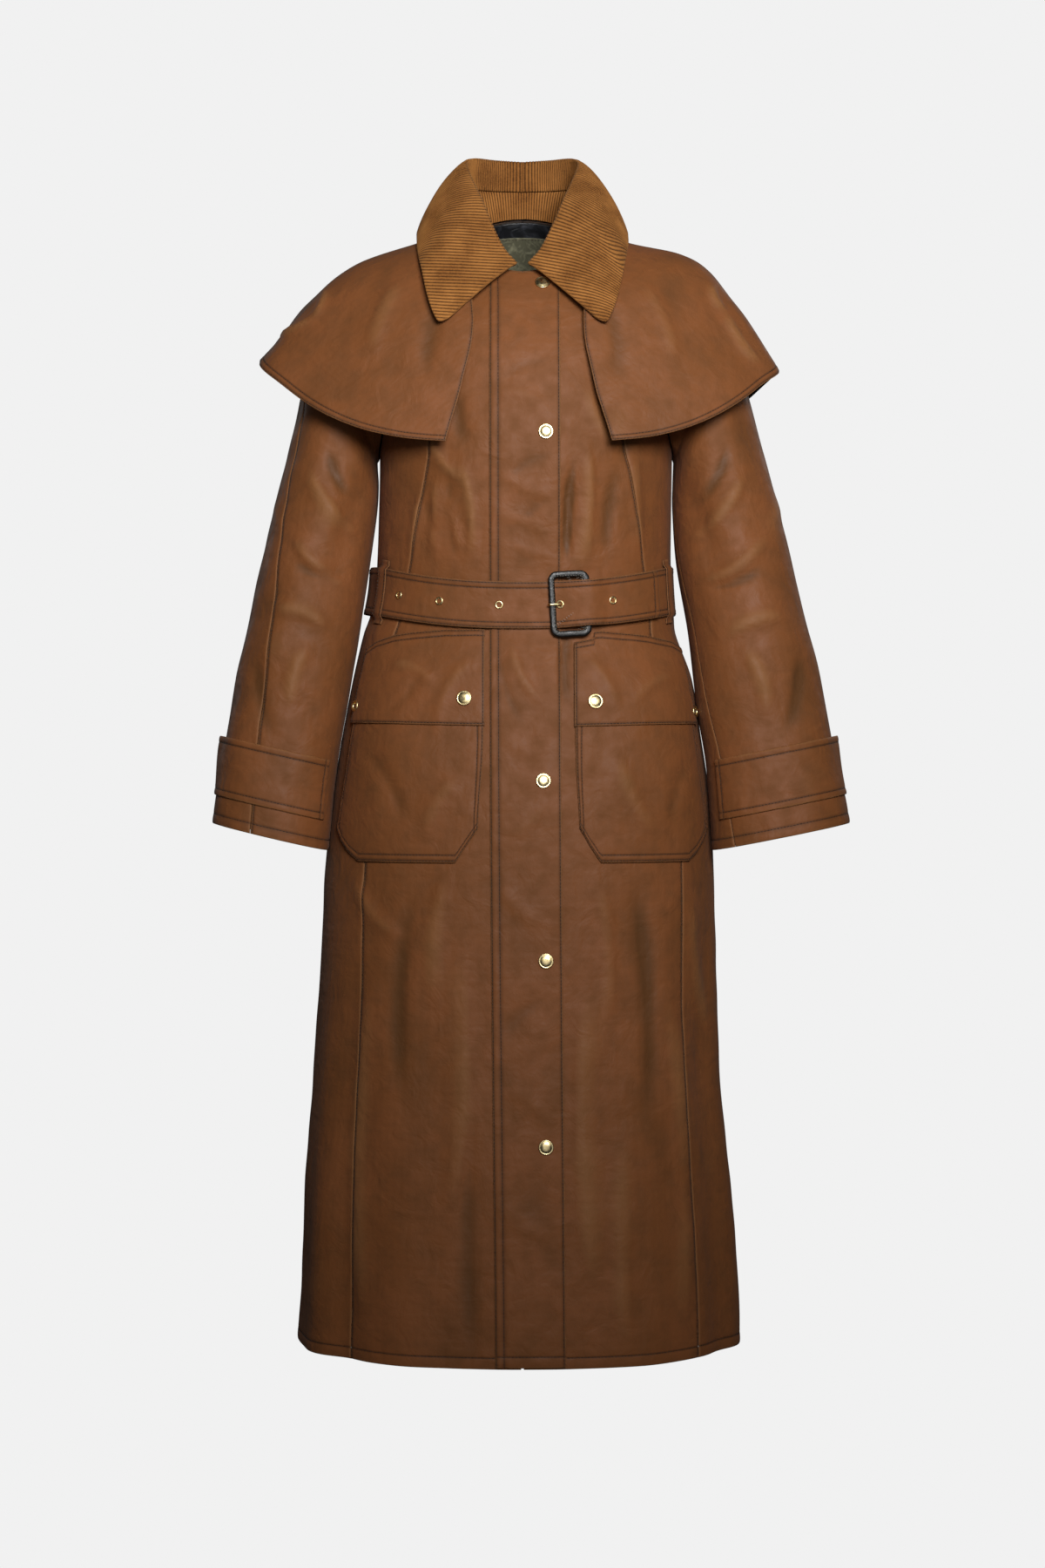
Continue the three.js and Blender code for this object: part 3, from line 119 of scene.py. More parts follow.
class Table:
    """Rows of measures that are read along their first column."""

    def __init__(self, names: str, *rows: tuple[float, ...]) -> None:
        """Keeps the rows.

        Args:
            names: the columns' names, split by spaces.
            rows: one tuple for each row, its key first.
        """
        self.names = names.split()
        self.rows = np.array(rows, float)
        self.keys = self.rows[:, 0]

    def smooth(self, name: str, at: Array) -> Array:
        """A column at any place between the rows, by a smooth curve through them.

        Args:
            name: the column.
            at: where to read it.

        Returns:
            The column's values there.
        """
        keys = self.keys
        column = self.rows[:, self.names.index(name)]
        ahead = np.minimum(np.arange(len(keys)) + 1, len(keys) - 1)
        behind = np.maximum(np.arange(len(keys)) - 1, 0)
        slope = (column[ahead] - column[behind]) / (keys[ahead] - keys[behind])
        place = np.clip(at, keys[0], keys[-1])
        i = np.clip(np.searchsorted(keys, place, side="right") - 1, 0, len(keys) - 2)
        span = keys[i + 1] - keys[i]
        t = (place - keys[i]) / span
        return (
            (2 * t**3 - 3 * t**2 + 1) * column[i]
            + (t**3 - 2 * t**2 + t) * span * slope[i]
            + (3 * t**2 - 2 * t**3) * column[i + 1]
            + (t**3 - t**2) * span * slope[i + 1]
        )

    def straight(self, name: str, at: Array) -> Array:
        """The same by straight lines, for edges with corners."""
        return np.interp(at, self.keys, self.rows[:, self.names.index(name)])


BODY = Table(
    "drop front back left right fore aft square",
    (-18, 32, -46, 72, 72, 75, 68, 2.05),
    (2, 57, -18, 116, 116, 91, 83, 2.1),
    (27, 88, 21, 169, 167, 105, 99, 2.2),
    (75, 124, 75, 167, 165, 117, 111, 2.3),
    (130, 162, 130, 158, 154, 122, 116, 2.35),
    (175, 194, 177, 154, 149, 125, 117, 2.4),
    (215, 226, 216, 154, 147, 125, 116, 2.4),
    (290, 305, 290, 153, 148.6, 117, 109, 2.4),
    (326, 346.8, 326, 153, 150, 112.4, 104.5, 2.4),
    (351, 371.3, 351, 154, 152, 111.4, 103.6, 2.4),
    (376, 395.8, 376, 156, 157, 112.6, 105, 2.4),
    (395, 412, 395, 158, 164, 117, 110, 2.4),
    (440, 449, 440, 174, 174.4, 126, 121, 2.4),
    (500, 504, 500, 183.6, 185.6, 134, 131, 2.4),
    (565, 566, 565, 193, 196, 140, 138, 2.35),
    (640, 641, 640, 197, 203.5, 144, 143, 2.3),
    (747, 748, 747, 198, 209, 148, 148, 2.3),
    (850, 851, 850, 202, 216, 153, 153, 2.3),
    (963, 964, 963, 213, 224, 159, 159, 2.3),
    (1060, 1062, 1060, 220, 228, 163, 163, 2.3),
    (1118, 1121, 1118, 222, 231, 165, 165, 2.3),
)
NECK = -18.0
HEM = 1118.0

# The big folds of the body: turn at the top and at the hem, spread, height, and the drops where each
# begins, is full and ends.
BODY_FOLDS = (
    (-52, -47, 6, -4, 640, 900, 1200), (-66, -62, 8, 5, 700, 1000, 1200),
    (66, 62, 7, -5, 640, 860, 1200), (80, 76, 8, 4, 560, 800, 1200), (-30, -28, 9, 3, 660, 950, 1200),
    (34, 30, 9, 3, 680, 950, 1200), (120, 124, 9, 6, 430, 800, 1200), (147, 150, 8, -5, 430, 850, 1200),
    (176, 178, 9, 5, 430, 820, 1200), (207, 209, 8, -5, 430, 850, 1200),
    (238, 236, 9, 6, 430, 800, 1200), (150, 150, 11, 4, 215, 280, 345),
    (205, 205, 11, 4, 215, 280, 345),
)
ARMHOLE_TOP = 27.0
ARMHOLE_END = 215.0
ARMHOLE = Table(
    "drop front back",
    (27, 89, 91),
    (35, 82, 98),
    (50, 74, 106),
    (75, 67, 112),
    (102, 63, 115),
    (130, 62, 116),
    (160, 64, 114),
    (185, 69, 110),
    (203, 77, 103),
    (215, 88, 92),
)
FRONT_SEAM = Table(
    "drop right left",
    (-18, 40, 42),
    (25, 28, 30),
    (130, 30, 33),
    (215, 36, 39),
    (290, 43, 47),
    (350, 49, 53),
    (440, 50, 53),
    (1118, 46, 50),
)
FLY = Table("drop sewn free", (-18, -33, 37.5), (560, -32, 38.5), (1118, -26.5, 42.5))
FLY_TOP_DROP = 2.0
FLY_HEM_RISE = 1.5

SLEEVES = {
    "left": Table(
        "run out outDrop inn innDrop deep ahead",
        (1, 206, 56, 156, 217, 73, 0),
        (2, 223, 105, 155.6, 226, 73, 1),
        (3, 235, 163, 155, 242, 71, 4),
        (4, 252, 225, 154.6, 268, 69, 9),
        (5, 270, 297, 157.6, 322, 65, 18),
        (6, 286, 369, 169, 394, 62, 28),
        (7, 302, 441, 177, 466, 59, 38),
        (8, 316, 508, 187, 534, 57, 46),
        (9, 332, 588, 192.5, 616, 56, 54),
    ),
    "right": Table(
        "run out outDrop inn innDrop deep ahead",
        (1, 204, 56, 150, 217, 73, 0),
        (2, 219, 105, 149.5, 226, 73, 1),
        (3, 231, 163, 148.4, 242, 71, 4),
        (4, 245, 225, 149.6, 268, 69, 9),
        (5, 262, 297, 156.5, 322, 65, 18),
        (6, 277, 369, 166.5, 394, 61, 28),
        (7, 291, 441, 178, 466, 58, 38),
        (8, 303, 508, 189, 534, 56, 46),
        (9, 315, 588, 197, 616, 55, 54),
    ),
}
SLEEVE_SQUARE = 2.15
SLEEVE_LAST = 9.0
SLEEVE_SEAMS = Table(
    "run rightOuter rightInner leftOuter leftInner",
    (0, 62, -100, 104, -88),
    (4, 50, -100, 108, -80),
    (6, 30, -100, 112, -66),
    (9, 14, -100, 116, -44),
)
# Run and turn at each end of a sleeve's big folds, then their spread and height.
SLEEVE_FOLDS = (
    (2.6, 6.2, -58, -10, 17, -4), (3.2, 7.4, -20, 30, 20, 3), (2.4, 6.0, 214, 170, 18, -4),
    (4.2, 7.6, 150, 120, 20, 3),
)
CAPE = Table(
    "reach dropLeft dropRight front back left right fore aft",
    (0, -21, -21, 27, -50, 74, 74, 79, 71.5),
    (0.15, -8, -8, 53, -28, 110, 108, 97.5, 90),
    (0.35, 4, 6, 84, 12, 164, 152, 114, 108),
    (0.55, 22, 24, 122, 56, 194, 188, 124, 119),
    (0.75, 55, 55, 160, 106, 223, 226, 131, 127),
    (0.88, 88, 86, 186, 146, 245, 251, 135, 135),
    (1, 121, 112, 212, 184, 265, 274, 139, 144),
)
CAPE_SQUARE = 2.3
CAPE_DIP = 3.0
CAPE_FRONT = Table(
    "reach right left", (0, 34, 36), (0.2, 22, 25), (0.4, 14.5, 17.5), (0.7, 13, 16), (1, 13.2, 16.4)
)
# Turn, spread, height and the reach where it begins, of each fold of the cape.
CAPE_FOLDS = (
    (73, 6, 6, 0.35), (86, 6, -5, 0.35), (-70, 8, 5, 0.4), (-84, 6, -4, 0.4), (122, 9, 5, 0.35),
    (155, 9, -4, 0.35), (208, 10, 5, 0.35), (240, 9, -4, 0.35),
)
COLLAR = Table(
    "at seamX seamY seamZ rollX rollY rollZ edgeX edgeY edgeZ swell",
    (0, 0, 65.5, 76, 0, 67, 108, 0, 109, 38, 15),
    (0.15, 29, 62, 76, 28, 63, 109, 45, 103, 36, 15),
    (0.3, 51, 47, 74, 48, 49, 108, 84, 78, 30, 15),
    (0.42, 62, 27, 67, 56, 29, 102, 103, 42, 23, 15),
    (0.52, 66, 4, 56, 57, 8, 92, 109, 0, 21, 15),
    (0.62, 64, -20, 39, 50, -15, 71, 107, -56, -7, 13),
    (0.72, 55, -43, 18, 41, -38, 48, 101, -92, -36, 11),
    (0.82, 41, -62, -5, 30, -59, 18, 95, -109, -62, 9),
    (0.91, 25, -74, -20, 18, -76, -9, 88, -117, -82, 7),
    (1, 9, -80, -29, 5, -86, -26, 81, -121, -94, 5),
)
COLLAR_ROLL = 0.26
STAND_END = 0.93

BACK_SEAM = 180.0
BELT_WIDTH = 49.0
BELT_DROP = 351.0
BELT_OVER_FLY = 4.2
BELT_AT_BACK = 0.7
BELT_RIDES_DOWN = 78.0
BELT_BULGE_TURN = 262.0
BELT_BULGE = 8.5
BELT_START_X = 63.0
BELT_TIP_X = 133.0
BUCKLE_LEFT_X = 25.0
BUCKLE_RIGHT_X = 67.0
BUCKLE_HEIGHT = 66.0
BUCKLE_BAR = 6.6
BUCKLE_THICK = 3.2
BUCKLE_CORNER = 8.0
BUCKLE_CLEAR = 1.4
EYELETS_X = (-121.0, -81.0, -23.0, 36.5, 87.0)
LOOP_WIDTH = 16.0
LOOP_REACH = 8.0
FLY_STUDS = ((20.0, -47.0), (23.0, -200.0), (20.5, -546.0), (23.0, -723.0), (23.0, -905.0))
FLAP_STUDS = {"right": (-57.0, -465.0), "left": (71.0, -468.0)}
VENT_RINGS = {"right": (-165.0, -471.0), "left": (171.0, -476.0)}

POCKET_BASE = 0.9
FLAP_AIR = 0.7
POCKET_SWELL = 3.5
POCKET_TOP = 412.0
POCKET_END = 626.0
# Edges of the pockets as widths at a drop, and the bottom edge as drops along its width.
POCKET_SIDES = {
    "right": Table(
        "drop inner outer", (412, -37.5, -158), (500, -38, -172), (565, -41, -182), (592, -43.5, -186)
    ),
    "left": Table("drop inner outer", (412, 51.5, 160), (500, 52, 174), (565, 53.5, 183), (592, 56, 186)),
}
POCKET_BOTTOM = {
    "right": Table(
        "x drop", (-186, 592), (-184, 600), (-180, 609), (-173, 618), (-164, 626), (-66, 626), (-61, 618),
        (-55, 609), (-49, 600), (-43.5, 592),
    ),
    "left": Table(
        "x drop", (56, 592), (61, 600), (66, 609), (72, 618), (77, 626), (166, 626), (174, 618), (180, 609),
        (184, 600), (186, 592),
    ),
}
FLAP_TOP = {
    "right": Table(
        "x drop", (-155, 411), (-143, 401), (-127, 393), (-111, 388), (-95, 384), (-77, 380), (-46, 377),
        (-37, 377),
    ),
    "left": Table(
        "x drop", (51, 393), (70, 390), (71, 382), (77, 382), (104, 388), (122, 393), (147, 403), (158, 411)
    ),
}
FLAP_ENDS = {"right": (-37.0, -155.0, -171.0, 487.0), "left": (51.0, 158.0, 174.0, 488.0)}

TAB_TOP = 7.9
TAB_END = 8.65
TAB_FROM = -60.0
TAB_TO = 200.0
TAB_FLARE = 5.0
WALE = 3.4


@dataclass(frozen=True)
class Crease:
    """A soft fold: its two ends, its half width and its height, below 0 for a trough.

    x is across and z up. bow bends it sideways in the middle, lean makes one flank steeper, and behind puts it
    on the back of the coat.
    """

    x0: float
    z0: float
    x1: float
    z1: float
    width: float
    height: float
    bow: float = 0.0
    lean: float = 0.0
    behind: bool = False

    def rise(self, points: Array, normals: Array) -> Array:
        """How far the fold lifts the cloth at each point.

        Args:
            points: points of the undisturbed skin.
            normals: the skin's directions outwards there.

        Returns:
            Heights, 0 away from the fold and on the other face of the coat.
        """
        dx, dz = self.x1 - self.x0, self.z1 - self.z0
        length = math.hypot(dx, dz)
        x, z = points[..., 0] - self.x0, points[..., 2] - self.z0
        along = (x * dx + z * dz) / length**2
        across = (x * dz - z * dx) / length - self.bow * 4 * along * (1 - along)
        taper = smoothstep(along, -0.12, 0.25) * (1 - smoothstep(along, 0.72, 1.12))
        wide = self.width * np.where(across > 0, 1 + self.lean, 1 - self.lean)
        seen = normals[..., 1] if self.behind else -normals[..., 1]
        return self.height * taper * np.exp(-((across / wide) ** 2)) * smoothstep(seen, 0.02, 0.35)


def laid(*rows: tuple) -> tuple[Crease, ...]:
    """Folds from their rows of measures."""
    return tuple(Crease(*row) for row in rows)


class Ripples:
    """The slight unevenness of filled-out cloth, as a seeded sum of waves in space."""

    def __init__(self, seed: int, shortest: float, longest: float, height: float, count: int = 22) -> None:
        """Draws the waves.

        Args:
            seed: fixes the draw.
            shortest: length of the shortest wave.
            longest: length of the longest wave.
            height: how far the cloth moves on average.
            count: how many waves there are.
        """
        draw = np.random.default_rng(seed)
        directions = unit(draw.normal(size=(count, 3)) * (1.0, 1.0, 0.6))
        lengths = np.exp(draw.uniform(math.log(shortest), math.log(longest), count))
        self.waves = directions * (2 * math.pi / lengths)[:, None]
        self.phases = draw.uniform(0, 2 * math.pi, count)
        self.heights = height * lengths / lengths.mean() * math.sqrt(2 / count)

    def at(self, points: Array) -> Array:
        """Heights at the points."""
        return (np.sin(points @ self.waves.T + self.phases) * self.heights).sum(-1)


def creased(creases: Sequence[Crease], points: Array, normals: Array) -> Array:
    """The heights of several folds together."""
    total = np.zeros(points.shape[:-1])
    for crease in creases:
        total += crease.rise(points, normals)
    return total


class Skin:
    """A smooth form that pieces of cloth lie on. u goes round it and v down it."""

    facing = 1.0
    small_u = 0.2
    small_v = 0.5
    first = -math.inf
    last = math.inf
    creases: Sequence[Crease] = ()
    ripples = Ripples(3, 38, 110, 0.45)

    def form(self, u: Array, v: Array) -> Array:
        """Points of the undisturbed form."""
        raise NotImplementedError

    def normal(self, u: Array, v: Array) -> Array:
        """Directions outwards from the form."""
        low = np.maximum(v - self.small_v, self.first)
        high = np.minimum(v + self.small_v, self.last)
        across = self.form(u + self.small_u, v) - self.form(u - self.small_u, v)
        down = self.form(u, high) - self.form(u, low)
        return unit(np.cross(down, across)) * self.facing

    def relief(self, u: Array, v: Array, points: Array, normals: Array) -> Array:
        """Heights of the creases and ripples, the same for every layer that lies on the skin."""
        return creased(self.creases, points, normals) + self.ripples.at(points)

    def raised(self, u: Array, v: Array, height: Array) -> Array:
        """Points at a height over the creased form."""
        points = self.form(u, v)
        normals = self.normal(u, v)
        return points + normals * (height + self.relief(u, v, points, normals))[..., None]

    def frame(self, u: float, v: float, height: float, slope: float = 0.0) -> tuple[Array, Array]:
        """A place on the skin and its directions along, up and outwards.

        Args:
            u: where round the skin.
            v: where down the skin.
            height: height over the skin.
            slope: how far the height grows for each degree of u.

        Returns:
            The point, and the three directions as rows.
        """
        around = np.array([u - 0.6, u, u + 0.6])
        level = np.full(3, v)
        line = self.raised(around, level, height + slope * (around - u))
        down = self.raised(np.full(3, u), np.array([v - 1.5, v, v + 1.5]), np.full(3, height))
        along = unit(line[2] - line[0])
        up = down[0] - down[2]
        up = unit(up - along * (up @ along))
        return line[1], np.array([along, up, np.cross(along, up)])


class BodySkin(Skin):
    """The body of the coat from the neck to the hem."""

    first = NECK
    last = HEM
    # Folds on the front, from the photograph, and like ones behind.
    creases = laid(
        (-92, -196, -60, -246, 6, 3.2, 6, 0.3), (-60, -232, -50, -322, 4.3, 3.5, -5, 0.3),
        (-84, -240, -88, -322, 5.2, 2.9, 4, -0.3), (-72, -245, -66, -322, 3.4, -2.6, 3),
        (-104, -262, -112, -320, 4.3, 2.3), (-118, -150, -96, -215, 6.9, 2.9, 5),
        (-66, -160, -54, -214, 7.7, -2.3, 4), (52, -228, 44, -330, 4.3, -3.8, 2, 0.2),
        (66, -215, 62, -326, 6, 3.5, -3, 0.3), (96, -236, 84, -322, 6, -2.6, 4),
        (112, -220, 118, -318, 5.2, 2.6), (64, -150, 92, -214, 7.7, 2.6, 5),
        (118, -166, 100, -232, 6, -2.3, 3), (-72, -260, -60, -317, 4, 3.2, 3, 0.4),
        (-93, -266, -88, -299, 4, -2.6, 2), (47, -248, 44, -322, 4, -3.4),
        (46, -392, 44, -470, 5, -2.6, 3), (-24, -236, 26, -262, 5.2, 1.4, 5),
        (28, -222, -14, -246, 4.3, -1.3, 4), (-26, -284, 24, -300, 4.3, 1.6, -5),
        (-8, -312, 30, -322, 3.4, 1.3, 3), (30, -266, 2, -286, 3.4, -1.2, 3),
        (-26, -160, 26, -176, 6, 1.3, -6), (26, -130, -20, -146, 5.2, -1, 4),
        (-10, -408, 22, -470, 5.2, 2.2, 7, 0.3), (-22, -420, -2, -486, 4.3, -1.6, 5),
        (-20, -498, 20, -520, 6, 1.3, 6), (26, -560, -16, -600, 6, 1.4, -6),
        (-20, -650, 22, -690, 6.9, 1.4, 6), (24, -760, -18, -800, 6.9, -1.3, 6),
        (-18, -850, 24, -880, 6.9, 1.3, -6), (-20, -960, 24, -990, 7.7, 1.3, 7),
        (-128, -428, -84, -452, 6, 2.2, -6, 0.2), (-52, -428, -84, -500, 6, 2, 8),
        (-140, -486, -100, -440, 5.2, -1.6, 5), (150, -440, 106, -470, 6, 2, 6),
        (62, -424, 92, -478, 5.2, 1.7, -6), (-60, -540, -96, -600, 7.7, 2.2, 6),
        (-150, -520, -118, -586, 6.9, -2.2, -6), (92, -520, 128, -596, 7.7, 2.2, 5),
        (160, -530, 146, -590, 6, -1.9, 4), (-168, -640, -120, -700, 7.7, 2.6, 8, 0.3),
        (-76, -640, -88, -760, 8.6, 2.6, 5), (-110, -660, -120, -860, 9.5, -3.2, 8),
        (-60, -720, -70, -980, 10.3, 2.6, -8, 0.3), (-150, -740, -158, -1080, 8.6, 3.2, 8),
        (-52, -880, -48, -1110, 8.6, -2.3, 4), (74, -640, 84, -780, 8.6, 2.6, -5),
        (112, -650, 124, -880, 9.5, -3.2, -8), (62, -760, 70, -1040, 10.3, 2.6, 8, -0.3),
        (146, -760, 158, -1090, 8.6, 2.9, -8), (100, -900, 104, -1110, 9.5, 2.6, 5),
        (170, -660, 186, -800, 6.9, 2.9, 5), (-120, -180, -60, -280, 7.7, 3.5, 8, 0.3, True),
        (-40, -210, -18, -322, 6, 3.2, -6, 0.2, True), (30, -200, 14, -322, 6, 2.9, 6, 0.2, True),
        (126, -176, 62, -290, 7.7, 3.5, -8, -0.3, True), (-84, -150, -92, -240, 7.7, -2.6, 5, 0, True),
        (88, -150, 84, -250, 7.7, -2.6, -5, 0, True), (-60, -400, -72, -600, 7.7, 3.2, 6, 0.2, True),
        (-110, -400, -124, -560, 6.9, -2.9, 5, 0, True), (-6, -400, -10, -640, 7.7, 3.2, 6, -0.2, True),
        (54, -400, 66, -620, 7.7, -3.2, -6, 0, True), (104, -400, 116, -580, 6.9, 3.2, 6, 0, True),
        (-30, -400, -34, -520, 5.2, -2.3, 3, 0, True), (28, -400, 30, -500, 5.2, 2.3, 3, 0, True),
    )
    # Small gathers at the belt: turn, length over the belt, length under it, spread and height.
    gathers = (
        (-78, 60, 50, 2.6, 1.6), (-63, 42, 36, 2.2, 1.2), (72, 50, 44, 2.6, 1.6),
        (88, 70, 60, 3.0, -1.5), (102, 46, 52, 2.6, 1.5), (116, 74, 70, 3.2, -1.4),
        (131, 52, 60, 2.8, 1.6), (143, 44, 46, 2.4, -1.2), (158, 66, 80, 3.0, 1.6),
        (171, 48, 56, 2.6, -1.3), (186, 56, 72, 2.8, 1.5), (199, 46, 50, 2.4, -1.2),
        (214, 62, 76, 3.0, 1.6), (229, 48, 54, 2.6, 1.2), (243, 70, 62, 3.0, -1.5),
        (258, 50, 48, 2.6, 1.4), (270, 60, 58, 2.6, -1.3),
    )

    def form(self, u: Array, v: Array) -> Array:
        """Points of the body at turns and drops."""
        s, c = np.sin(u * RAD), np.cos(u * RAD)
        power = 2 / BODY.smooth("square", v)
        half = np.where(s >= 0, BODY.smooth("left", v), BODY.smooth("right", v))
        depth = np.where(c >= 0, BODY.smooth("fore", v), BODY.smooth("aft", v))
        low = np.where(c >= 0, BODY.smooth("front", v), BODY.smooth("back", v))
        fold = np.zeros(np.broadcast(u, v).shape)
        for top, hem, spread, height, begins, full, ends in BODY_FOLDS:
            grown = smoothstep(v, begins, full)
            left = 1 - smoothstep(v, full, ends) * (ends < HEM)
            fold = fold + height * grown * left * bell(wrap_turn(u - mix(top, hem, grown)), spread)
        away = unit(spots(s / half, -c / depth, 0.0)) * fold[..., None]
        x = half * signed_power(s, power)
        y = -depth * signed_power(c, power)
        return spots(x, y, -(v * s * s + low * c * c)) + away

    def relief(self, u: Array, v: Array, points: Array, normals: Array) -> Array:
        """Heights of the creases, ripples and gathers. They die away under the belt and the cape."""
        rise = super().relief(u, v, points, normals)
        for turn, over, under, spread, height in self.gathers:
            upper = smoothstep(v, BELT_DROP - 24 - over, BELT_DROP - 24) * (v < BELT_DROP)
            lower = (1 - smoothstep(v, BELT_DROP + 24, BELT_DROP + 24 + under)) * (v >= BELT_DROP)
            rise = rise + height * (upper + lower) * bell(wrap_turn(u - turn), spread)
        clear_of_cape = smoothstep(-points[..., 2], 25, 90)
        beside_sleeve = (
            bell(np.abs(wrap_turn(u)) - 90, 18) * smoothstep(v, 180, 230) * (1 - smoothstep(v, 600, 680))
        )
        rise = rise * (1 - 0.85 * beside_sleeve)
        return rise * clear_of_cape * smoothstep(np.abs(v - BELT_DROP), 23, 40)

    def turn_at(self, x: Array, v: Array) -> Array:
        """The turn at which the body has a given width from its centre."""
        half = np.where(x >= 0, BODY.smooth("left", v), BODY.smooth("right", v))
        square = BODY.smooth("square", v)
        return np.sign(x) * np.arcsin(np.minimum(1, np.abs(x) / half) ** (square / 2)) / RAD

    def place(self, x: float, z: float) -> tuple[float, float]:
        """The turn and the drop of a point of the front, from its width and height."""
        low, high = NECK, HEM
        for _ in range(40):
            middle = (low + high) / 2
            turn = self.turn_at(np.array(x), np.array(middle))
            if self.form(turn, np.array(middle))[..., 2] > z:
                low = middle
            else:
                high = middle
        return float(self.turn_at(np.array(x), np.array(middle))), middle


class SleeveSkin(Skin):
    """A sleeve on the wearer's right or left, sewn into the armhole of the body."""

    small_u = 0.5
    small_v = 0.01
    first = 0.0
    last = SLEEVE_LAST

    def __init__(self, side: str, body: BodySkin, creases: Sequence[Crease]) -> None:
        """Keeps the side, the body and the given creases."""
        self.side = SIDES[side]
        self.table = SLEEVES[side]
        self.body = body
        self.facing = float(self.side)
        self.creases = creases
        self.ripples = Ripples(11 + self.side, 30, 90, 0.5)

    def armhole(self, u: Array) -> Array:
        """Points just inside the armhole edge of the body."""
        s = np.sin(u * RAD)
        middle = (ARMHOLE_TOP + ARMHOLE_END) / 2
        drop = middle - s * (ARMHOLE_END - ARMHOLE_TOP) / 2
        front = np.cos(u * RAD) >= 0
        edge = np.where(front, ARMHOLE.straight("front", drop), ARMHOLE.straight("back", drop))
        point = self.body.form(self.side * edge, drop)
        centre = self.body.form(np.array(self.side * 89.5), np.array(middle))
        shift = spots(self.side * 1.1 * np.maximum(0, -s), 0.0, 0.0)
        return point + 0.6 * unit(centre - point) + shift

    def form(self, u: Array, v: Array) -> Array:
        """Points of the sleeve at turns and runs."""
        s, c = np.sin(u * RAD), np.cos(u * RAD)
        run = np.maximum(v, 1.0)
        table = self.table
        along = (1 + signed_power(s, 2 / SLEEVE_SQUARE)) / 2
        swell = np.zeros(np.broadcast(u, v).shape)
        for begins, ends, turn, last_turn, spread, height in SLEEVE_FOLDS:
            part = np.clip((run - begins) / (ends - begins), 0, 1)
            away = wrap_turn(u - mix(turn, last_turn, part))
            swell = swell + height * np.sin(part * math.pi) ** 2 * bell(away, spread)
        depth = (table.smooth("deep", run) + swell) * signed_power(c, 2 / SLEEVE_SQUARE)
        arm = spots(
            self.side * (mix(table.smooth("inn", run), table.smooth("out", run), along) + swell * s),
            -table.smooth("ahead", run) - depth,
            -mix(table.smooth("innDrop", run), table.smooth("outDrop", run), along),
        )
        share = np.minimum(v, 1.0)[..., None] * np.ones(arm.shape[:-1] + (1,))
        return mix(self.armhole(u + 0 * v), arm, share)

    def relief(self, u: Array, v: Array, points: Array, normals: Array) -> Array:
        """Heights of the creases and ripples, which die away at the armhole and beside the body."""
        inward = smoothstep(-self.side * normals[..., 0], 0.4, 0.85)
        return super().relief(u, v, points, normals) * smoothstep(v, 0.5, 2.0) * (1 - 0.8 * inward)


class CapeSkin(Skin):
    """The shoulder cape. u is a turn and v the reach from the neck, 0, to the hem, 1."""

    small_v = 0.004
    first = 0.0
    last = 1.0

    def __init__(self, creases: Sequence[Crease]) -> None:
        """Keeps the given creases."""
        self.creases = creases
        self.ripples = Ripples(23, 40, 110, 0.5)

    def form(self, u: Array, v: Array) -> Array:
        """Points of the cape at turns and reaches."""
        s, c = np.sin(u * RAD), np.cos(u * RAD)
        half = np.where(s >= 0, CAPE.smooth("left", v), CAPE.smooth("right", v))
        depth = np.where(c >= 0, CAPE.smooth("fore", v), CAPE.smooth("aft", v))
        low = np.where(c >= 0, CAPE.smooth("front", v), CAPE.smooth("back", v))
        side = np.where(s >= 0, CAPE.smooth("dropLeft", v), CAPE.smooth("dropRight", v))
        dip = np.abs(s) ** mix(2, CAPE_DIP, smoothstep(v, 0.15, 0.9))
        fold = np.zeros(np.broadcast(u, v).shape)
        for turn, spread, height, begins in CAPE_FOLDS:
            fold = fold + height * smoothstep(v, begins, 1) * bell(wrap_turn(u - turn), spread)
        away = unit(spots(s / half, -c / depth, 0.0)) * fold[..., None]
        x = half * signed_power(s, 2 / CAPE_SQUARE)
        y = -depth * signed_power(c, 2 / CAPE_SQUARE)
        return spots(x, y, -(side * dip + low * (1 - dip))) + away

    def relief(self, u: Array, v: Array, points: Array, normals: Array) -> Array:
        """Heights of the creases and ripples, which die away at the neck."""
        return super().relief(u, v, points, normals) * smoothstep(v, 0.2, 0.5)


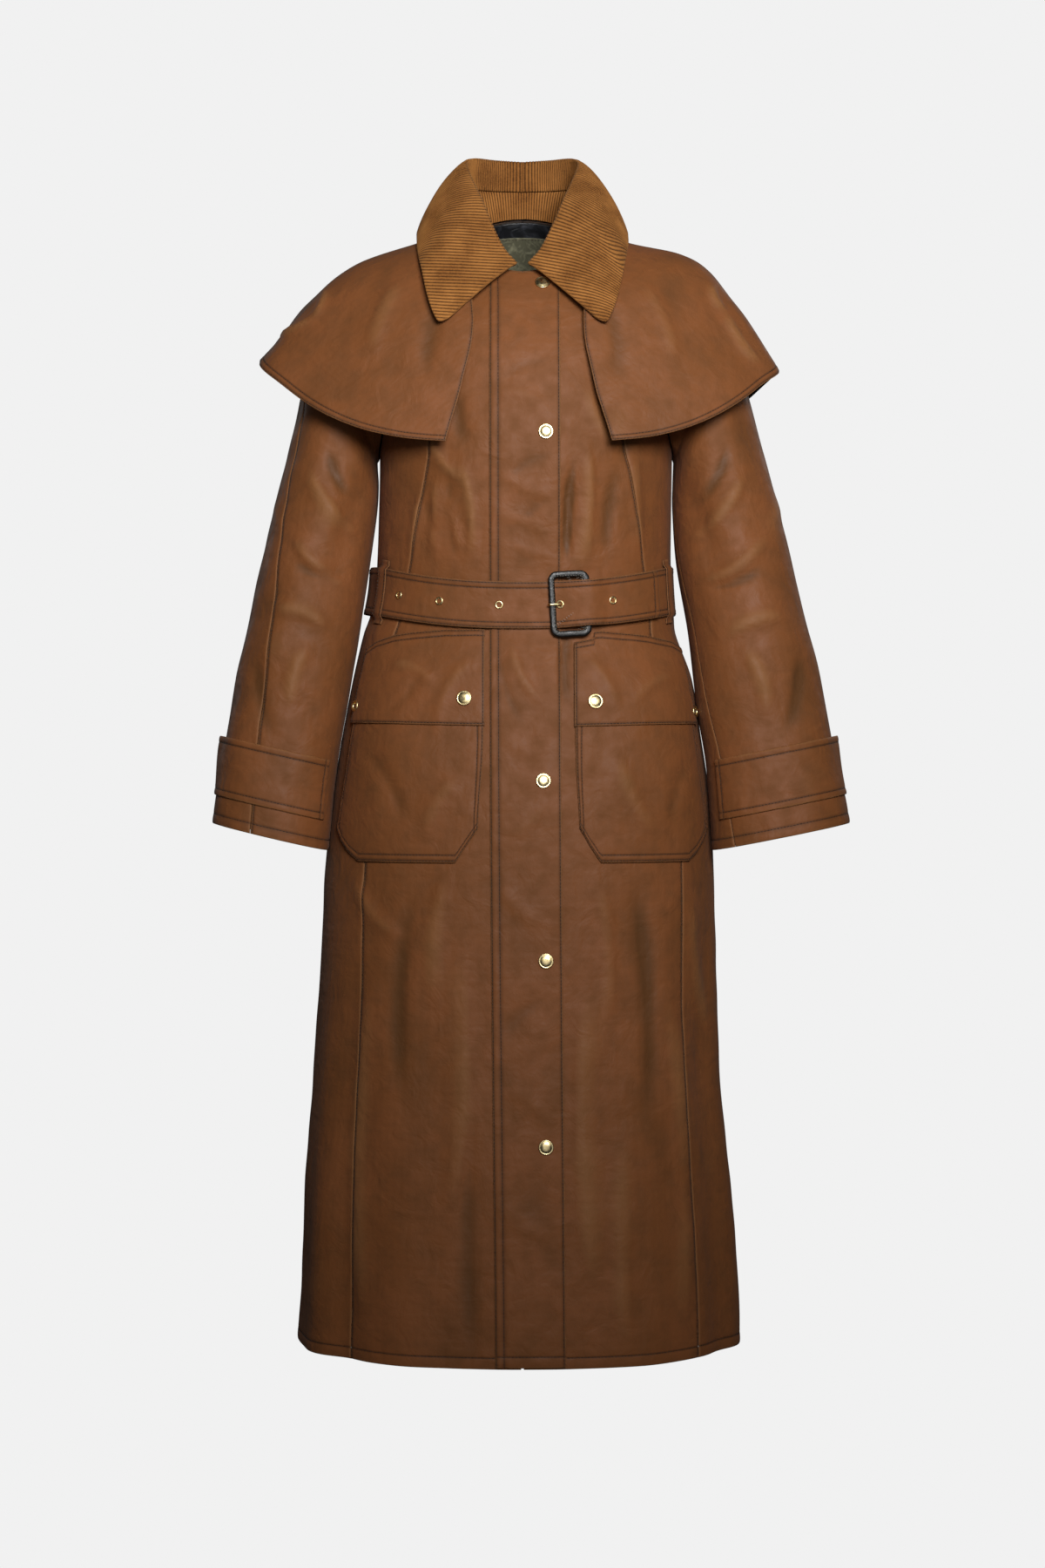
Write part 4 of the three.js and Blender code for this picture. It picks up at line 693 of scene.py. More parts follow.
class CollarSkin(Skin):
    """The turned-down collar.

    u runs from -1, the wearer's right front end, to 1, and v from the stand to the edge.
    """

    facing = -1.0
    small_u = 0.003
    small_v = 0.004
    first = 0.0
    last = 1.0
    ripples = Ripples(31, 40, 90, 0.35)

    def form(self, u: Array, v: Array) -> Array:
        """Points of the collar."""
        at = np.minimum(np.abs(u), 1.0)

        def line(name: str) -> Array:
            """One of the collar's three long lines."""
            x = np.sign(u) * COLLAR.smooth(name + "X", at)
            return spots(x, COLLAR.smooth(name + "Y", at), COLLAR.smooth(name + "Z", at))

        seam, roll, edge = line("seam"), line("roll"), line("edge")
        swell = COLLAR.smooth("swell", at)[..., None]
        flat = np.array([1.0, 1.0, 0.0])
        low = np.clip(v / COLLAR_ROLL, 0, 1)[..., None]
        inner = mix(seam, roll, low) - 2 * np.sin(low * math.pi) * unit(roll * flat)
        t = np.clip((v - COLLAR_ROLL) / (1 - COLLAR_ROLL), 0, 1)[..., None]
        out = unit((edge - roll) * flat)
        first = roll + out * swell
        second = mix(edge, first, 0.42) + out * swell * 0.5
        leaf = (
            roll * (1 - t) ** 3 + 3 * first * t * (1 - t) ** 2 + 3 * second * t**2 * (1 - t) + edge * t**3
        )
        return np.where((v <= COLLAR_ROLL)[..., None], inner, leaf)

    @staticmethod
    def over_wales(u: Array, along: Array) -> Array:
        """Directions square to the wales, which lie level on the right wing and slant on the left one.

        Args:
            u: places along the collar.
            along: the collar's own direction there.

        Returns:
            The directions.
        """
        slant = mix(32.0, 12.0, smoothstep(u, 0.7, 0.95)) * RAD
        left = spots(-np.sin(slant), 0 * u, -np.cos(slant))
        wanted = np.where((u > 0)[:, None], left, np.array([0.04, 0.0, 1.0]))
        return unit(mix(along, wanted, smoothstep(np.abs(u), 0.55, 0.74)[:, None]))

    def relief(self, u: Array, v: Array, points: Array, normals: Array) -> Array:
        """Heights of the ripples, which die away at the seam."""
        return super().relief(u, v, points, normals) * smoothstep(v, 0.1, 0.5)


class StandSkin(Skin):
    """The collar stand.

    u is a place along the collar and v goes from the neck seam, 0, to the collar seam, 1.
    """

    facing = -1.0
    small_u = 0.003
    small_v = 0.02
    first = 0.0
    last = 1.0

    def __init__(self, body: BodySkin) -> None:
        """Keeps the body it is sewn to."""
        self.body = body

    def form(self, u: Array, v: Array) -> Array:
        """Points of the stand."""
        at = np.minimum(np.abs(u), 1.0)
        x = np.sign(u) * COLLAR.smooth("seamX", at)
        y = COLLAR.smooth("seamY", at)
        top = spots(x, y, COLLAR.smooth("seamZ", at) - 0.7)
        left, fore, aft = (BODY.rows[0, BODY.names.index(name)] for name in ("left", "fore", "aft"))
        turn = np.arctan2(x / left, -y / np.where(y > 0, aft, fore)) / RAD
        foot = self.body.form(turn, np.full_like(turn, NECK))
        foot = foot - unit(foot * (1.0, 1.0, 0.0)) * (CORD + 0.3) + (0.0, 0.0, 1.3)
        share = v[..., None] * np.ones(foot.shape[:-1] + (1,))
        return mix(foot, top, share)

    @staticmethod
    def over_wales(u: Array, along: Array) -> Array:
        """The stand's wales run square to its length."""
        return along

    def relief(self, u: Array, v: Array, points: Array, normals: Array) -> Array:
        """The stand is stiff, so it has no creases."""
        return np.zeros(points.shape[:-1])


def make_object(
    name: str,
    points: Array,
    faces: Sequence[Array],
    materials: Sequence[Material],
    uv: Array | None = None,
    values: dict[str, Array] | None = None,
    material_index: Array | None = None,
) -> Piece:
    """Makes a mesh object with smooth faces.

    Args:
        name: the piece's name.
        points: its points in millimetres.
        faces: arrays of faces, each of triangles or of quads.
        materials: its materials.
        uv: a place on the flat cloth for each point, in millimetres.
        values: a number for each point, by name, for the materials.
        material_index: which material each face has.

    Returns:
        The new object, linked to the scene.
    """
    mesh = bpy.data.meshes.new(name)
    corners = np.concatenate([f.ravel() for f in faces]).astype(np.int32)
    sizes = np.concatenate([np.full(len(f), f.shape[1]) for f in faces])
    starts = np.concatenate([[0], np.cumsum(sizes)[:-1]]).astype(np.int32)
    mesh.vertices.add(len(points))
    mesh.vertices.foreach_set("co", (points * MM).astype(np.float32).ravel())
    mesh.loops.add(len(corners))
    mesh.loops.foreach_set("vertex_index", corners)
    mesh.polygons.add(len(sizes))
    mesh.polygons.foreach_set("loop_start", starts)
    mesh.polygons.foreach_set("use_smooth", np.ones(len(sizes), bool))
    if material_index is not None:
        mesh.polygons.foreach_set("material_index", material_index.astype(np.int32))
    if uv is not None:
        layer = mesh.uv_layers.new(name="cloth")
        layer.data.foreach_set("uv", (uv[corners] * MM).astype(np.float32).ravel())
    for key, numbers in (values or {}).items():
        attached = mesh.attributes.new(key, "FLOAT", "POINT")
        attached.data.foreach_set("value", numbers.astype(np.float32).ravel())
    mesh.update(calc_edges=True)
    mesh.validate()
    for material in materials:
        mesh.materials.append(material)
    made = bpy.data.objects.new(name, mesh)
    bpy.context.scene.collection.objects.link(made)
    return made


def grid_faces(rows: int, columns: int, flipped: bool) -> Array:
    """Quads of a grid of points that is stored row by row."""
    first = (np.arange(rows - 1)[:, None] * columns + np.arange(columns - 1)[None, :]).ravel()
    quads = np.stack([first, first + columns, first + columns + 1, first + 1], axis=1)
    return quads[:, ::-1] if flipped else quads


class Edge(Enum):
    """The four edges of a piece of cloth."""

    FROM = "from"
    TO = "to"
    TOP = "top"
    END = "end"


@dataclass(frozen=True)
class Seam:
    """Lines of stitching along one edge, at distances from it."""

    edge: Edge
    lines: tuple[float, ...]
    trim: float = 1.5


@dataclass
class Threads:
    """Collects runs of stitching and makes them into pieces."""

    pitch: float = 3.3
    length: float = 2.5
    radius: float = 0.34
    runs: dict[str, list[tuple[Array, Array]]] = field(default_factory=dict)

    def sew(self, group: str, line: Array, normals: Array) -> None:
        """Adds a run of stitching.

        Args:
            group: the piece that the run belongs to.
            line: points on the cloth.
            normals: directions outwards there.
        """
        steps = np.linalg.norm(np.diff(line, axis=0), axis=1)
        reach = np.concatenate([[0], np.cumsum(steps)])
        count = int(reach[-1] / self.pitch)
        if count < 1:
            return
        places = (np.arange(count) + 0.5) * reach[-1] / count

        def along(table: Array, at: Array) -> Array:
            """Reads a line of vectors at lengths along it."""
            return np.stack([np.interp(at, reach, table[:, i]) for i in range(3)], axis=1)

        centre = along(line, places)
        tangent = unit(along(line, places + 0.5) - along(line, places - 0.5))
        normal = unit(along(normals, places))
        side = unit(np.cross(tangent, normal))
        ring = np.arange(5) * 2 * math.pi / 5
        local = [(-0.5, 0.0, -0.35)]
        for share in (-0.3, 0.3):
            local += [(share, math.cos(a), math.sin(a)) for a in ring]
        local.append((0.5, 0.0, -0.35))
        shape = np.array(local) * (self.length, self.radius, self.radius)
        points = (
            centre[:, None]
            + tangent[:, None] * shape[None, :, :1]
            + side[:, None] * shape[None, :, 1:2]
            + normal[:, None] * (shape[None, :, 2:] + 0.12)
        )
        self.runs.setdefault(group, []).append((points.reshape(-1, 3), np.array([count])))

    def make(self, material: Material) -> list[Piece]:
        """Makes one piece of each group of runs.

        Args:
            material: the thread.

        Returns:
            The pieces.
        """
        k = np.arange(5)
        after = (k + 1) % 5
        zero = np.zeros(5, int)
        tips = np.concatenate([
            np.stack([zero, 1 + after, 1 + k], axis=1),
            np.stack([zero + 11, 6 + k, 6 + after], axis=1),
        ])
        sides = np.stack([1 + k, 1 + after, 6 + after, 6 + k], axis=1)
        made = []
        for group, runs in self.runs.items():
            points = np.concatenate([run[0] for run in runs])
            bases = (np.arange(len(points) // 12) * 12)[:, None, None]
            faces = [(tips[None] + bases).reshape(-1, 3), (sides[None] + bases).reshape(-1, 4)]
            made.append(make_object(group, points, faces, [material]))
        return made


NEAR_EDGE = (0.0, 0.8, 2.4, 5.0, 9.0, 13.0)


def ladder(lines: Sequence[float]) -> Array:
    """Distances from an edge at which a piece has points, close together at the lines of stitching."""
    wanted = set(NEAR_EDGE)
    for line in lines:
        wanted |= {max(line - 0.9, 0.3), line, line + 0.9}
    ordered = sorted(wanted)
    kept = [d for i, d in enumerate(ordered) if i == 0 or d - ordered[i - 1] > 0.25 or d in lines]
    return np.array(kept)


def rungs(length: float, near_first: Array, near_last: Array, inner: int) -> Array:
    """Places along a length, with its two ladders and evenly spaced ones between them."""
    squeeze = min(1.0, 0.42 * length / max(near_first[-1], near_last[-1]))
    first, last = near_first * squeeze, length - near_last[::-1] * squeeze
    return np.concatenate([first, np.linspace(first[-1], last[0], inner + 2)[1:-1], last])


@dataclass
class Cloth:
    """One piece of cloth on a skin, as a thin closed shell.

    place turns shares across and down the piece into u and v of the skin. base is the height of its under
    face.
    """

    name: str
    skin: Skin
    place: Place
    base: Height
    thick: float = CLOTH
    seams: tuple[Seam, ...] = ()
    spacing: float = 5.0
    own: Height | None = None
    pucker: float = 0.22

    def lines(self, edge: Edge) -> tuple[float, ...]:
        """The stitching distances of an edge."""
        return tuple(line for seam in self.seams if seam.edge is edge for line in seam.lines)

    def lay_out(self) -> None:
        """Spreads the piece's points over the skin, with distances from each edge."""
        share = np.linspace(0, 1, 240)
        u, v = self.place(np.full_like(share, 0.5), share)
        line = self.skin.form(u, v)
        reach = np.concatenate([[0], np.cumsum(np.linalg.norm(np.diff(line, axis=0), axis=1))])
        self.length = reach[-1]
        self.rows_near = ladder(self.lines(Edge.TOP)), ladder(self.lines(Edge.END))
        inner = max(1, round((self.length - 26) / self.spacing))
        down = rungs(self.length, *self.rows_near, inner)
        shares_down = np.interp(down, reach, share)
        fine = np.linspace(0, 1, 150)
        a, b = np.meshgrid(fine, shares_down)
        rows = self.skin.form(*self.place(a, b))
        steps = np.linalg.norm(np.diff(rows, axis=1), axis=2)
        widths = np.concatenate([np.zeros((len(rows), 1)), np.cumsum(steps, axis=1)], axis=1)
        self.width = float(widths[:, -1].max())
        self.columns_near = ladder(self.lines(Edge.FROM)), ladder(self.lines(Edge.TO))
        inner = max(1, round((self.width - 26) / self.spacing))
        across = np.stack([rungs(row[-1], *self.columns_near, inner) for row in widths])
        shares = np.stack([np.interp(across[i], widths[i], fine) for i in range(len(rows))])
        self.u, self.v = self.place(shares, np.broadcast_to(shares_down[:, None], shares.shape))
        self.across = across
        self.down = np.broadcast_to(down[:, None], across.shape)
        self.from_edge = {
            Edge.FROM: across,
            Edge.TO: widths[:, -1:] - across,
            Edge.TOP: self.down,
            Edge.END: self.length - self.down,
        }

    def sewn_relief(self) -> Array:
        """Grooves under the stitching, the puffed band beside it and its small puckers."""
        total = np.zeros(self.across.shape)
        self.sewn = np.zeros(self.across.shape)
        for seam in self.seams:
            away = self.from_edge[seam.edge]
            along = self.down if seam.edge in (Edge.FROM, Edge.TO) else self.across
            wave = np.sin(along / 3.1 + 2.2 * np.sin(along / 17.0 + self.length))
            wave = wave * (0.6 + 0.4 * np.sin(along / 29.0))
            for line in seam.lines:
                total -= 0.42 * bell(away - line, 0.85)
                self.sewn = np.maximum(self.sewn, bell(away - line, 1.1))
            outmost = max(seam.lines)
            total += 0.3 * np.sin(np.pi * np.clip(away / outmost, 0, 1)) * (outmost > 3)
            total += self.pucker * wave * bell(away - outmost, 5.0) * smoothstep(away, 0.3, 3)
        return total

    def build(self, material: Material) -> Piece:
        """Makes the piece.

        Args:
            material: its cloth.

        Returns:
            The piece's object.
        """
        self.lay_out()
        form = self.skin.form(self.u, self.v)
        normals = self.skin.normal(self.u, self.v)
        common = self.skin.relief(self.u, self.v, form, normals)
        top = self.sewn_relief()
        if self.own:
            top = top + self.own(self.u, self.v)
        nearest = np.minimum.reduce([d for d in self.from_edge.values()])
        full = 0.35 + 0.65 * smoothstep(nearest, 0.0, 1.2)
        base = self.base(self.u, self.v) + common
        middle = base + self.thick / 2
        self.outer = form + normals * (middle + self.thick / 2 * full + top)[..., None]
        self.inner = form + normals * (middle - self.thick / 2 * full)[..., None]
        rows, columns = self.across.shape
        count = rows * columns
        flipped = self.skin.facing < 0
        outer = grid_faces(rows, columns, flipped)
        inner = grid_faces(rows, columns, not flipped) + count
        index = np.arange(count).reshape(rows, columns)
        rim = np.concatenate([index[0, ::-1], index[1:, 0], index[-1, 1:], index[-2:0:-1, -1]])
        after = np.roll(rim, -1)
        walls = np.stack([rim, rim + count, after + count, after], axis=1)
        walls = walls if not flipped else walls[:, ::-1]
        points = np.concatenate([self.outer.reshape(-1, 3), self.inner.reshape(-1, 3)])
        flat = np.stack([self.across - self.across[:, -1:] / 2, -self.down], axis=-1).reshape(-1, 2)
        worn = 1 - smoothstep(nearest, 0.2, 3.2)
        rise = common + top
        values = {
            "worn": np.concatenate([worn.ravel(), worn.ravel()]),
            "rise": np.concatenate([rise.ravel(), rise.ravel()]),
            "sewn": np.concatenate([self.sewn.ravel(), self.sewn.ravel()]),
            "inside": np.repeat([0.0, 1.0], count),
        }
        faces = [np.concatenate([outer, inner, walls])]
        cut = np.concatenate([flat, flat])
        self.object = make_object(self.name, points, faces, [material], cut, values)
        return self.object

    def sew(self, threads: Threads, group: str, under: bool = False) -> None:
        """Adds the piece's lines of stitching to the threads.

        Args:
            threads: collects them.
            group: the name of the piece of stitching.
            under: sews on the under face.
        """
        face = self.inner if under else self.outer
        normals = unit(np.cross(np.gradient(face, axis=0), np.gradient(face, axis=1))) * self.skin.facing
        if under:
            normals = -normals
        for seam in self.seams:
            first = seam.edge in (Edge.FROM, Edge.TOP)
            upright = seam.edge in (Edge.FROM, Edge.TO)
            near = (self.columns_near if upright else self.rows_near)[0 if first else 1]
            for line in seam.lines:
                k = int(np.argmin(np.abs(near - line)))
                k = k if first else -1 - k
                path = face[:, k] if upright else face[k]
                out = normals[:, k] if upright else normals[k]
                travel = self.down[:, k] if upright else self.across[k]
                kept = (travel > travel[0] + seam.trim) & (travel < travel[-1] - seam.trim)
                if kept.sum() > 2:
                    threads.sew(group, path[kept], out[kept])

    def declare(self, rests_on: Sequence[str], with_pieces: Sequence[Piece] = ()) -> None:
        """Args:
            rests_on: what it hangs from or lies on; not used.
            with_pieces: separate pieces on it; not used.
        """
        form = self.skin.form(self.u, self.v)
        with_pieces = list(with_pieces)
        rests_on = list(rests_on)


def level(turn: float) -> Curve:
    """An edge that keeps one turn all the way down."""
    return lambda v: 0 * v + turn


def moved(skin: Skin, curve: Curve, millimetres: float, reach: float = 1.0) -> Curve:
    """An edge moved round a skin by some millimetres.

    Args:
        skin: what the edge lies on.
        curve: the edge.
        millimetres: how far it moves.
        reach: the turn on either side of the edge over which a millimetre is measured.

    Returns:
        The moved edge.
    """

    def edge(v: Array) -> Array:
        """Turns along the moved edge."""
        turn = curve(v)
        gap = np.linalg.norm(skin.form(turn + reach, v) - skin.form(turn - reach, v), axis=-1)
        return turn + millimetres * 2 * reach / gap

    return edge


def panel(start: Curve, stop: Curve, top: float, end: float) -> Place:
    """A piece between two edges that are given along v.

    Args:
        start: where the piece begins round the skin.
        stop: where it ends.
        top: its first v.
        end: its last v.

    Returns:
        A function from shares across and down to u and v.
    """

    def place(a: Array, b: Array) -> tuple[Array, Array]:
        """Shares across and down to u and v."""
        v = mix(top, end, b)
        return mix(start(v), stop(v), a), v

    return place


def even(height: float) -> Height:
    """The same height all over."""
    return lambda u, v: np.full(np.broadcast(u, v).shape, float(height))


def mounted(name: str, obj: Piece, slot: str, *nodes: str) -> Piece:
    """Lets a piece ride on the coat and stand for its nodes."""
    if nodes:
        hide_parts(*nodes)
    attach(obj, "root")
    LOG.info("built %s with %d faces", name, len(obj.data.polygons))
    return obj


def linear(hex_colour: str) -> tuple[float, float, float, float]:
    """An sRGB hex colour as linear light with full cover."""
    parts = [int(hex_colour[i : i + 2], 16) / 255 for i in (1, 3, 5)]
    light = [c / 12.92 if c <= 0.04045 else ((c + 0.055) / 1.055) ** 2.4 for c in parts]
    return (*light, 1.0)


def fill(tree: Tree, node: bpy.types.Node, sockets: Sockets) -> None:
    """Sets a node's inputs.

    Args:
        tree: the material's nodes.
        node: the node.
        sockets: inputs by name or place, each a value or an output to link from.
    """
    for key, value in sockets.items():
        if isinstance(value, Socket):
            tree.links.new(value, node.inputs[key])
        else:
            node.inputs[key].default_value = value


def put(tree: Tree, kind: str, sockets: Sockets | None = None, **settings: object) -> bpy.types.Node:
    """Adds a node with its settings and links.

    Args:
        tree: the material's nodes.
        kind: the node's type.
        sockets: its inputs, as for fill.
        settings: the node's own settings.

    Returns:
        The node.
    """
    made = tree.nodes.new(kind)
    for key, value in settings.items():
        setattr(made, key, value)
    fill(tree, made, sockets or {})
    return made


FACTOR, COLOUR_A, COLOUR_B, COLOUR_OUT = 0, 6, 7, 2


def blank(name: str) -> tuple[Material, Tree, bpy.types.Node, Socket]:
    """A new material with a shader.

    Args:
        name: the finish.

    Returns:
        The material, its nodes, its shader and the place on the object in metres.
    """
    material = bpy.data.materials.new(name)
    material.use_nodes = True
    tree = material.node_tree
    shader = tree.nodes["Principled BSDF"]
    where = put(tree, "ShaderNodeTexCoord").outputs["Object"]
    return material, tree, shader, where


def between(tree: Tree, share: Socket | float, first: object, second: object) -> Socket:
    """A colour a share of the way from the first to the second."""
    sockets = {FACTOR: share, COLOUR_A: first, COLOUR_B: second}
    return put(tree, "ShaderNodeMix", sockets, data_type="RGBA").outputs[COLOUR_OUT]


def ranged(tree: Tree, value: Socket, low: float, high: float, to: tuple[float, float]) -> Socket:
    """A value carried from one range to another and held inside it."""
    sockets = {"Value": value, "From Min": low, "From Max": high, "To Min": to[0], "To Max": to[1]}
    return put(tree, "ShaderNodeMapRange", sockets).outputs["Result"]


def noise(tree: Tree, where: Socket, size_mm: float, detail: float, **more: float) -> Socket:
    """Soft noise in space.

    Args:
        tree: the material's nodes.
        where: the place on the object in metres.
        size_mm: how large its patches are.
        detail: how many finer layers it has.
        more: other inputs of the noise.

    Returns:
        Its strength, from 0 to 1.
    """
    sockets = {"Vector": where, "Scale": 1 / (size_mm * MM), "Detail": detail, **more}
    return put(tree, "ShaderNodeTexNoise", sockets).outputs["Fac"]


def carried(tree: Tree, name: str) -> Socket:
    """A number that the mesh carries for each point."""
    return put(tree, "ShaderNodeAttribute", attribute_name=name).outputs["Fac"]


def joined(tree: Tree, operation: str, first: Socket, second: Socket | float) -> Socket:
    """Two numbers added or multiplied."""
    return put(tree, "ShaderNodeMath", {0: first, 1: second}, operation=operation).outputs[0]


def bump(tree: Tree, height: Socket, strength: float, depth: float, normal: Socket | None = None) -> Socket:
    """Roughens a face.

    Args:
        tree: the material's nodes.
        height: where it rises, from 0 to 1.
        strength: how much of it shows.
        depth: how far it rises, in metres.
        normal: the normal that it is laid over.

    Returns:
        The new normal.
    """
    sockets = {"Height": height, "Strength": strength, "Distance": depth}
    if normal is not None:
        sockets["Normal"] = normal
    return put(tree, "ShaderNodeBump", sockets).outputs["Normal"]


@dataclass(frozen=True)
class WaxedCotton:
    """Waxed cotton: close plain weave brushed with wax.

    The eye gets a warm brown with soft reddish clouds, pale rubbed edges and a dull oily gloss broken by fine
    crumpling. The troughs of the folds and the grooves under the stitching are darkened as painted shade, and
    fold tops are paler, partly where wax rubs off and partly as a painted highlight.
    """

    body: str = "#7b4a26"
    ruddy: str = "#85502c"
    # Darker patches of the mottle, also used as painted shade in the troughs of the folds.
    deep: str = "#57381b"
    # Paler tone of rubbed edges, also used on fold tops, partly for wax rubbed off and partly as a painted
    # highlight.
    rubbed: str = "#94683f"
    # Dark brown of the inner faces, also used as painted shade along the stitch grooves.
    inside: str = "#2b2018"
    cloud_mm: float = 90.0
    mottle_mm: float = 16.0
    # Threads lie 0.4 mm apart, too fine to show, so the weave is drawn 1.3 mm apart.
    thread_mm: float = 1.3
    crumple_mm: float = 26.0
    wrinkle_mm: float = 8.0
    roughness: float = 0.6

    def make(self) -> Material:
        """Makes the material."""
        material, tree, shader, where = blank("waxed_cotton")
        cloud = noise(tree, where, self.cloud_mm, 3.0)
        mottle = noise(tree, where, self.mottle_mm, 5.0)
        rise = carried(tree, "rise")
        patchy = joined(tree, "MULTIPLY", carried(tree, "worn"), mottle)
        colour = linear(self.body)
        for value, low, high, most, tint in (
            (cloud, 0.38, 0.66, 0.8, self.ruddy),
            (mottle, 0.42, 0.75, 0.35, self.deep),
            # Painted shade: darker where the cloth sinks into a trough.
            (rise, -0.3, -2.8, 0.75, self.deep),
            # Paler on fold tops: partly wax rubbed off, partly a painted highlight.
            (rise, 0.9, 3.4, 0.4, self.rubbed),
            (patchy, 0.1, 0.8, 0.55, self.rubbed),
            # Painted shade: darker along the grooves under the stitching.
            (carried(tree, "sewn"), 0.1, 1.0, 0.6, self.inside),
        ):
            colour = between(tree, ranged(tree, value, low, high, (0, most)), colour, linear(tint))
        flat = put(tree, "ShaderNodeUVMap", uv_map="cloth").outputs["UV"]
        sockets = {"Vector": flat, "Scale": 50 / self.thread_mm, "Distortion": 0.6}
        weave = [
            put(tree, "ShaderNodeTexWave", sockets, bands_direction=axis).outputs["Fac"]
            for axis in ("X", "Y")
        ]
        normal = None
        for size, depth in ((self.crumple_mm, 0.0024), (self.wrinkle_mm, 0.0005)):
            folded = noise(tree, where, size, 3.0, Roughness=0.5, Distortion=0.8)
            normal = bump(tree, folded, 0.75, depth, normal)
        fill(tree, shader, {
            "Base Color": between(tree, carried(tree, "inside"), colour, linear(self.inside)),
            "Roughness": ranged(tree, mottle, 0.3, 0.7, (self.roughness - 0.07, self.roughness + 0.1)),
            "Specular IOR Level": 0.22,
            "Sheen Weight": 0.03,
            "Sheen Roughness": 0.5,
            "Normal": bump(tree, joined(tree, "ADD", *weave), 0.25, 0.0002, normal),
        })
        return material


@dataclass(frozen=True)
class Corduroy:
    """Cotton corduroy: cut pile in rounded wales.

    The pile catches light on top of each wale and goes dark in the groove, with a soft bloom where it turns
    away.
    """

    wale: str = "#9c6731"
    crushed: str = "#74451c"
    pale: str = "#b87c40"
    # Colour of the painted shade in the grooves between the wales.
    groove: str = "#3a2210"
    bloom: str = "#d9a673"
    nap_mm: float = 1.5
    cloud_mm: float = 26.0

    def make(self) -> Material:
        """Makes the material."""
        material, tree, shader, where = blank("corduroy")
        cloud = noise(tree, where, self.cloud_mm, 4.0)
        nap = noise(tree, where, self.nap_mm, 3.0)
        height = joined(tree, "ADD", carried(tree, "wale"), joined(tree, "MULTIPLY", nap, 0.55))
        brushed = ranged(tree, cloud, 0.36, 0.64, (0, 1))
        colour = between(tree, brushed, linear(self.crushed), linear(self.pale))
        colour = between(tree, ranged(tree, nap, 0.3, 0.7, (0.2, 0.8)), colour, linear(self.wale))
        # Painted shade: darker in the grooves between the wales.
        colour = between(tree, ranged(tree, height, 0.95, 0.3, (0, 0.95)), colour, linear(self.groove))
        fill(tree, shader, {
            "Base Color": colour,
            "Roughness": 0.92,
            "Specular IOR Level": 0.2,
            "Sheen Weight": 0.22,
            "Sheen Roughness": 0.4,
            "Sheen Tint": linear(self.bloom),
            "Normal": bump(tree, nap, 0.6, 0.0005),
        })
        return material


@dataclass(frozen=True)
class LiningCloth:
    """Woven lining: fine smooth twill, dark, with a faint satin gloss painted as a paler colour along its
    small creases.
    """

    name: str
    cloth: str
    # Paler colour painted along the creases as a satin highlight.
    pale: str
    roughness: float = 0.5
    crease_mm: float = 16.0

    def make(self) -> Material:
        """Makes the material."""
        material, tree, shader, where = blank(self.name)
        crease = noise(tree, where, self.crease_mm, 5.0, Roughness=0.6, Distortion=1.2)
        # Painted highlight: the pale colour along the crease ridges stands in for satin gloss.
        glossy = ranged(tree, crease, 0.48, 0.72, (0, 1))
        fill(tree, shader, {
            "Base Color": between(tree, glossy, linear(self.cloth), linear(self.pale)),
            "Roughness": self.roughness,
            "Specular IOR Level": 0.4,
            "Sheen Weight": 0.15,
            "Normal": bump(tree, crease, 0.6, 0.002),
        })
        return material


@dataclass(frozen=True)
class Brass:
    """Lacquered brass, stamped: pale gold, softly polished, with a faint brushing and small dull spots."""

    metal: str = "#f0dba6"
    dull: str = "#b79a5c"
    roughness: float = 0.26
    spot_mm: float = 3.0

    def make(self) -> Material:
        """Makes the material."""
        material, tree, shader, where = blank("brass")
        spot = noise(tree, where, self.spot_mm, 4.0)
        spotted = ranged(tree, spot, 0.5, 0.75, (0, 0.7))
        fill(tree, shader, {
            "Base Color": between(tree, spotted, linear(self.metal), linear(self.dull)),
            "Metallic": 1.0,
            "Roughness": ranged(tree, spot, 0.35, 0.7, (self.roughness, self.roughness + 0.2)),
            "Normal": bump(tree, spot, 0.15, 0.0004),
        })
        return material


@dataclass(frozen=True)
class BuckleLeather:
    """Glazed calf leather round the buckle: near black, with pebble grain and a soft shine on its ridges."""

    hide: str = "#0c0b0a"
    rubbed: str = "#241f1b"
    grain_mm: float = 1.6
    rub_mm: float = 6.25

    def make(self) -> Material:
        """Makes the material."""
        material, tree, shader, where = blank("buckle_leather")
        sockets = {"Vector": where, "Scale": 1 / (self.grain_mm * MM)}
        grain = put(tree, "ShaderNodeTexVoronoi", sockets).outputs["Distance"]
        rub = noise(tree, where, self.rub_mm, 4.0)
        worn = ranged(tree, rub, 0.55, 0.8, (0, 0.6))
        fill(tree, shader, {
            "Base Color": between(tree, worn, linear(self.hide), linear(self.rubbed)),
            "Roughness": ranged(tree, rub, 0.3, 0.7, (0.32, 0.5)),
            "Normal": bump(tree, grain, 0.35, 0.0004),
        })
        return material


@dataclass(frozen=True)
class Thread:
    """Polyester sewing thread: twisted, slightly shiny."""

    name: str
    colour: str
    fleck: str
    fleck_mm: float = 10 / 9

    def make(self) -> Material:
        """Makes the material."""
        material, tree, shader, where = blank(self.name)
        twist = noise(tree, where, self.fleck_mm, 2.0)
        fill(tree, shader, {
            "Base Color": between(tree, twist, linear(self.colour), linear(self.fleck)),
            "Roughness": 0.6,
        })
        return material


class Finishes:
    """Every material of the coat, made once."""

    def __init__(self) -> None:
        """Makes the materials."""
        self.cotton = WaxedCotton().make()
        self.corduroy = Corduroy().make()
        self.lining = LiningCloth("lining_black", "#0f1013", "#34363c", 0.38).make()
        self.patch = LiningCloth("patch_olive", "#4e4c38", "#77745a", 0.7, 9.0).make()
        self.brass = Brass().make()
        self.leather = BuckleLeather().make()
        self.thread = Thread("thread_brown", "#1f1209", "#3a2414").make()
        self.tick = Thread("thread_grey", "#b9b2a6", "#8f887c").make()


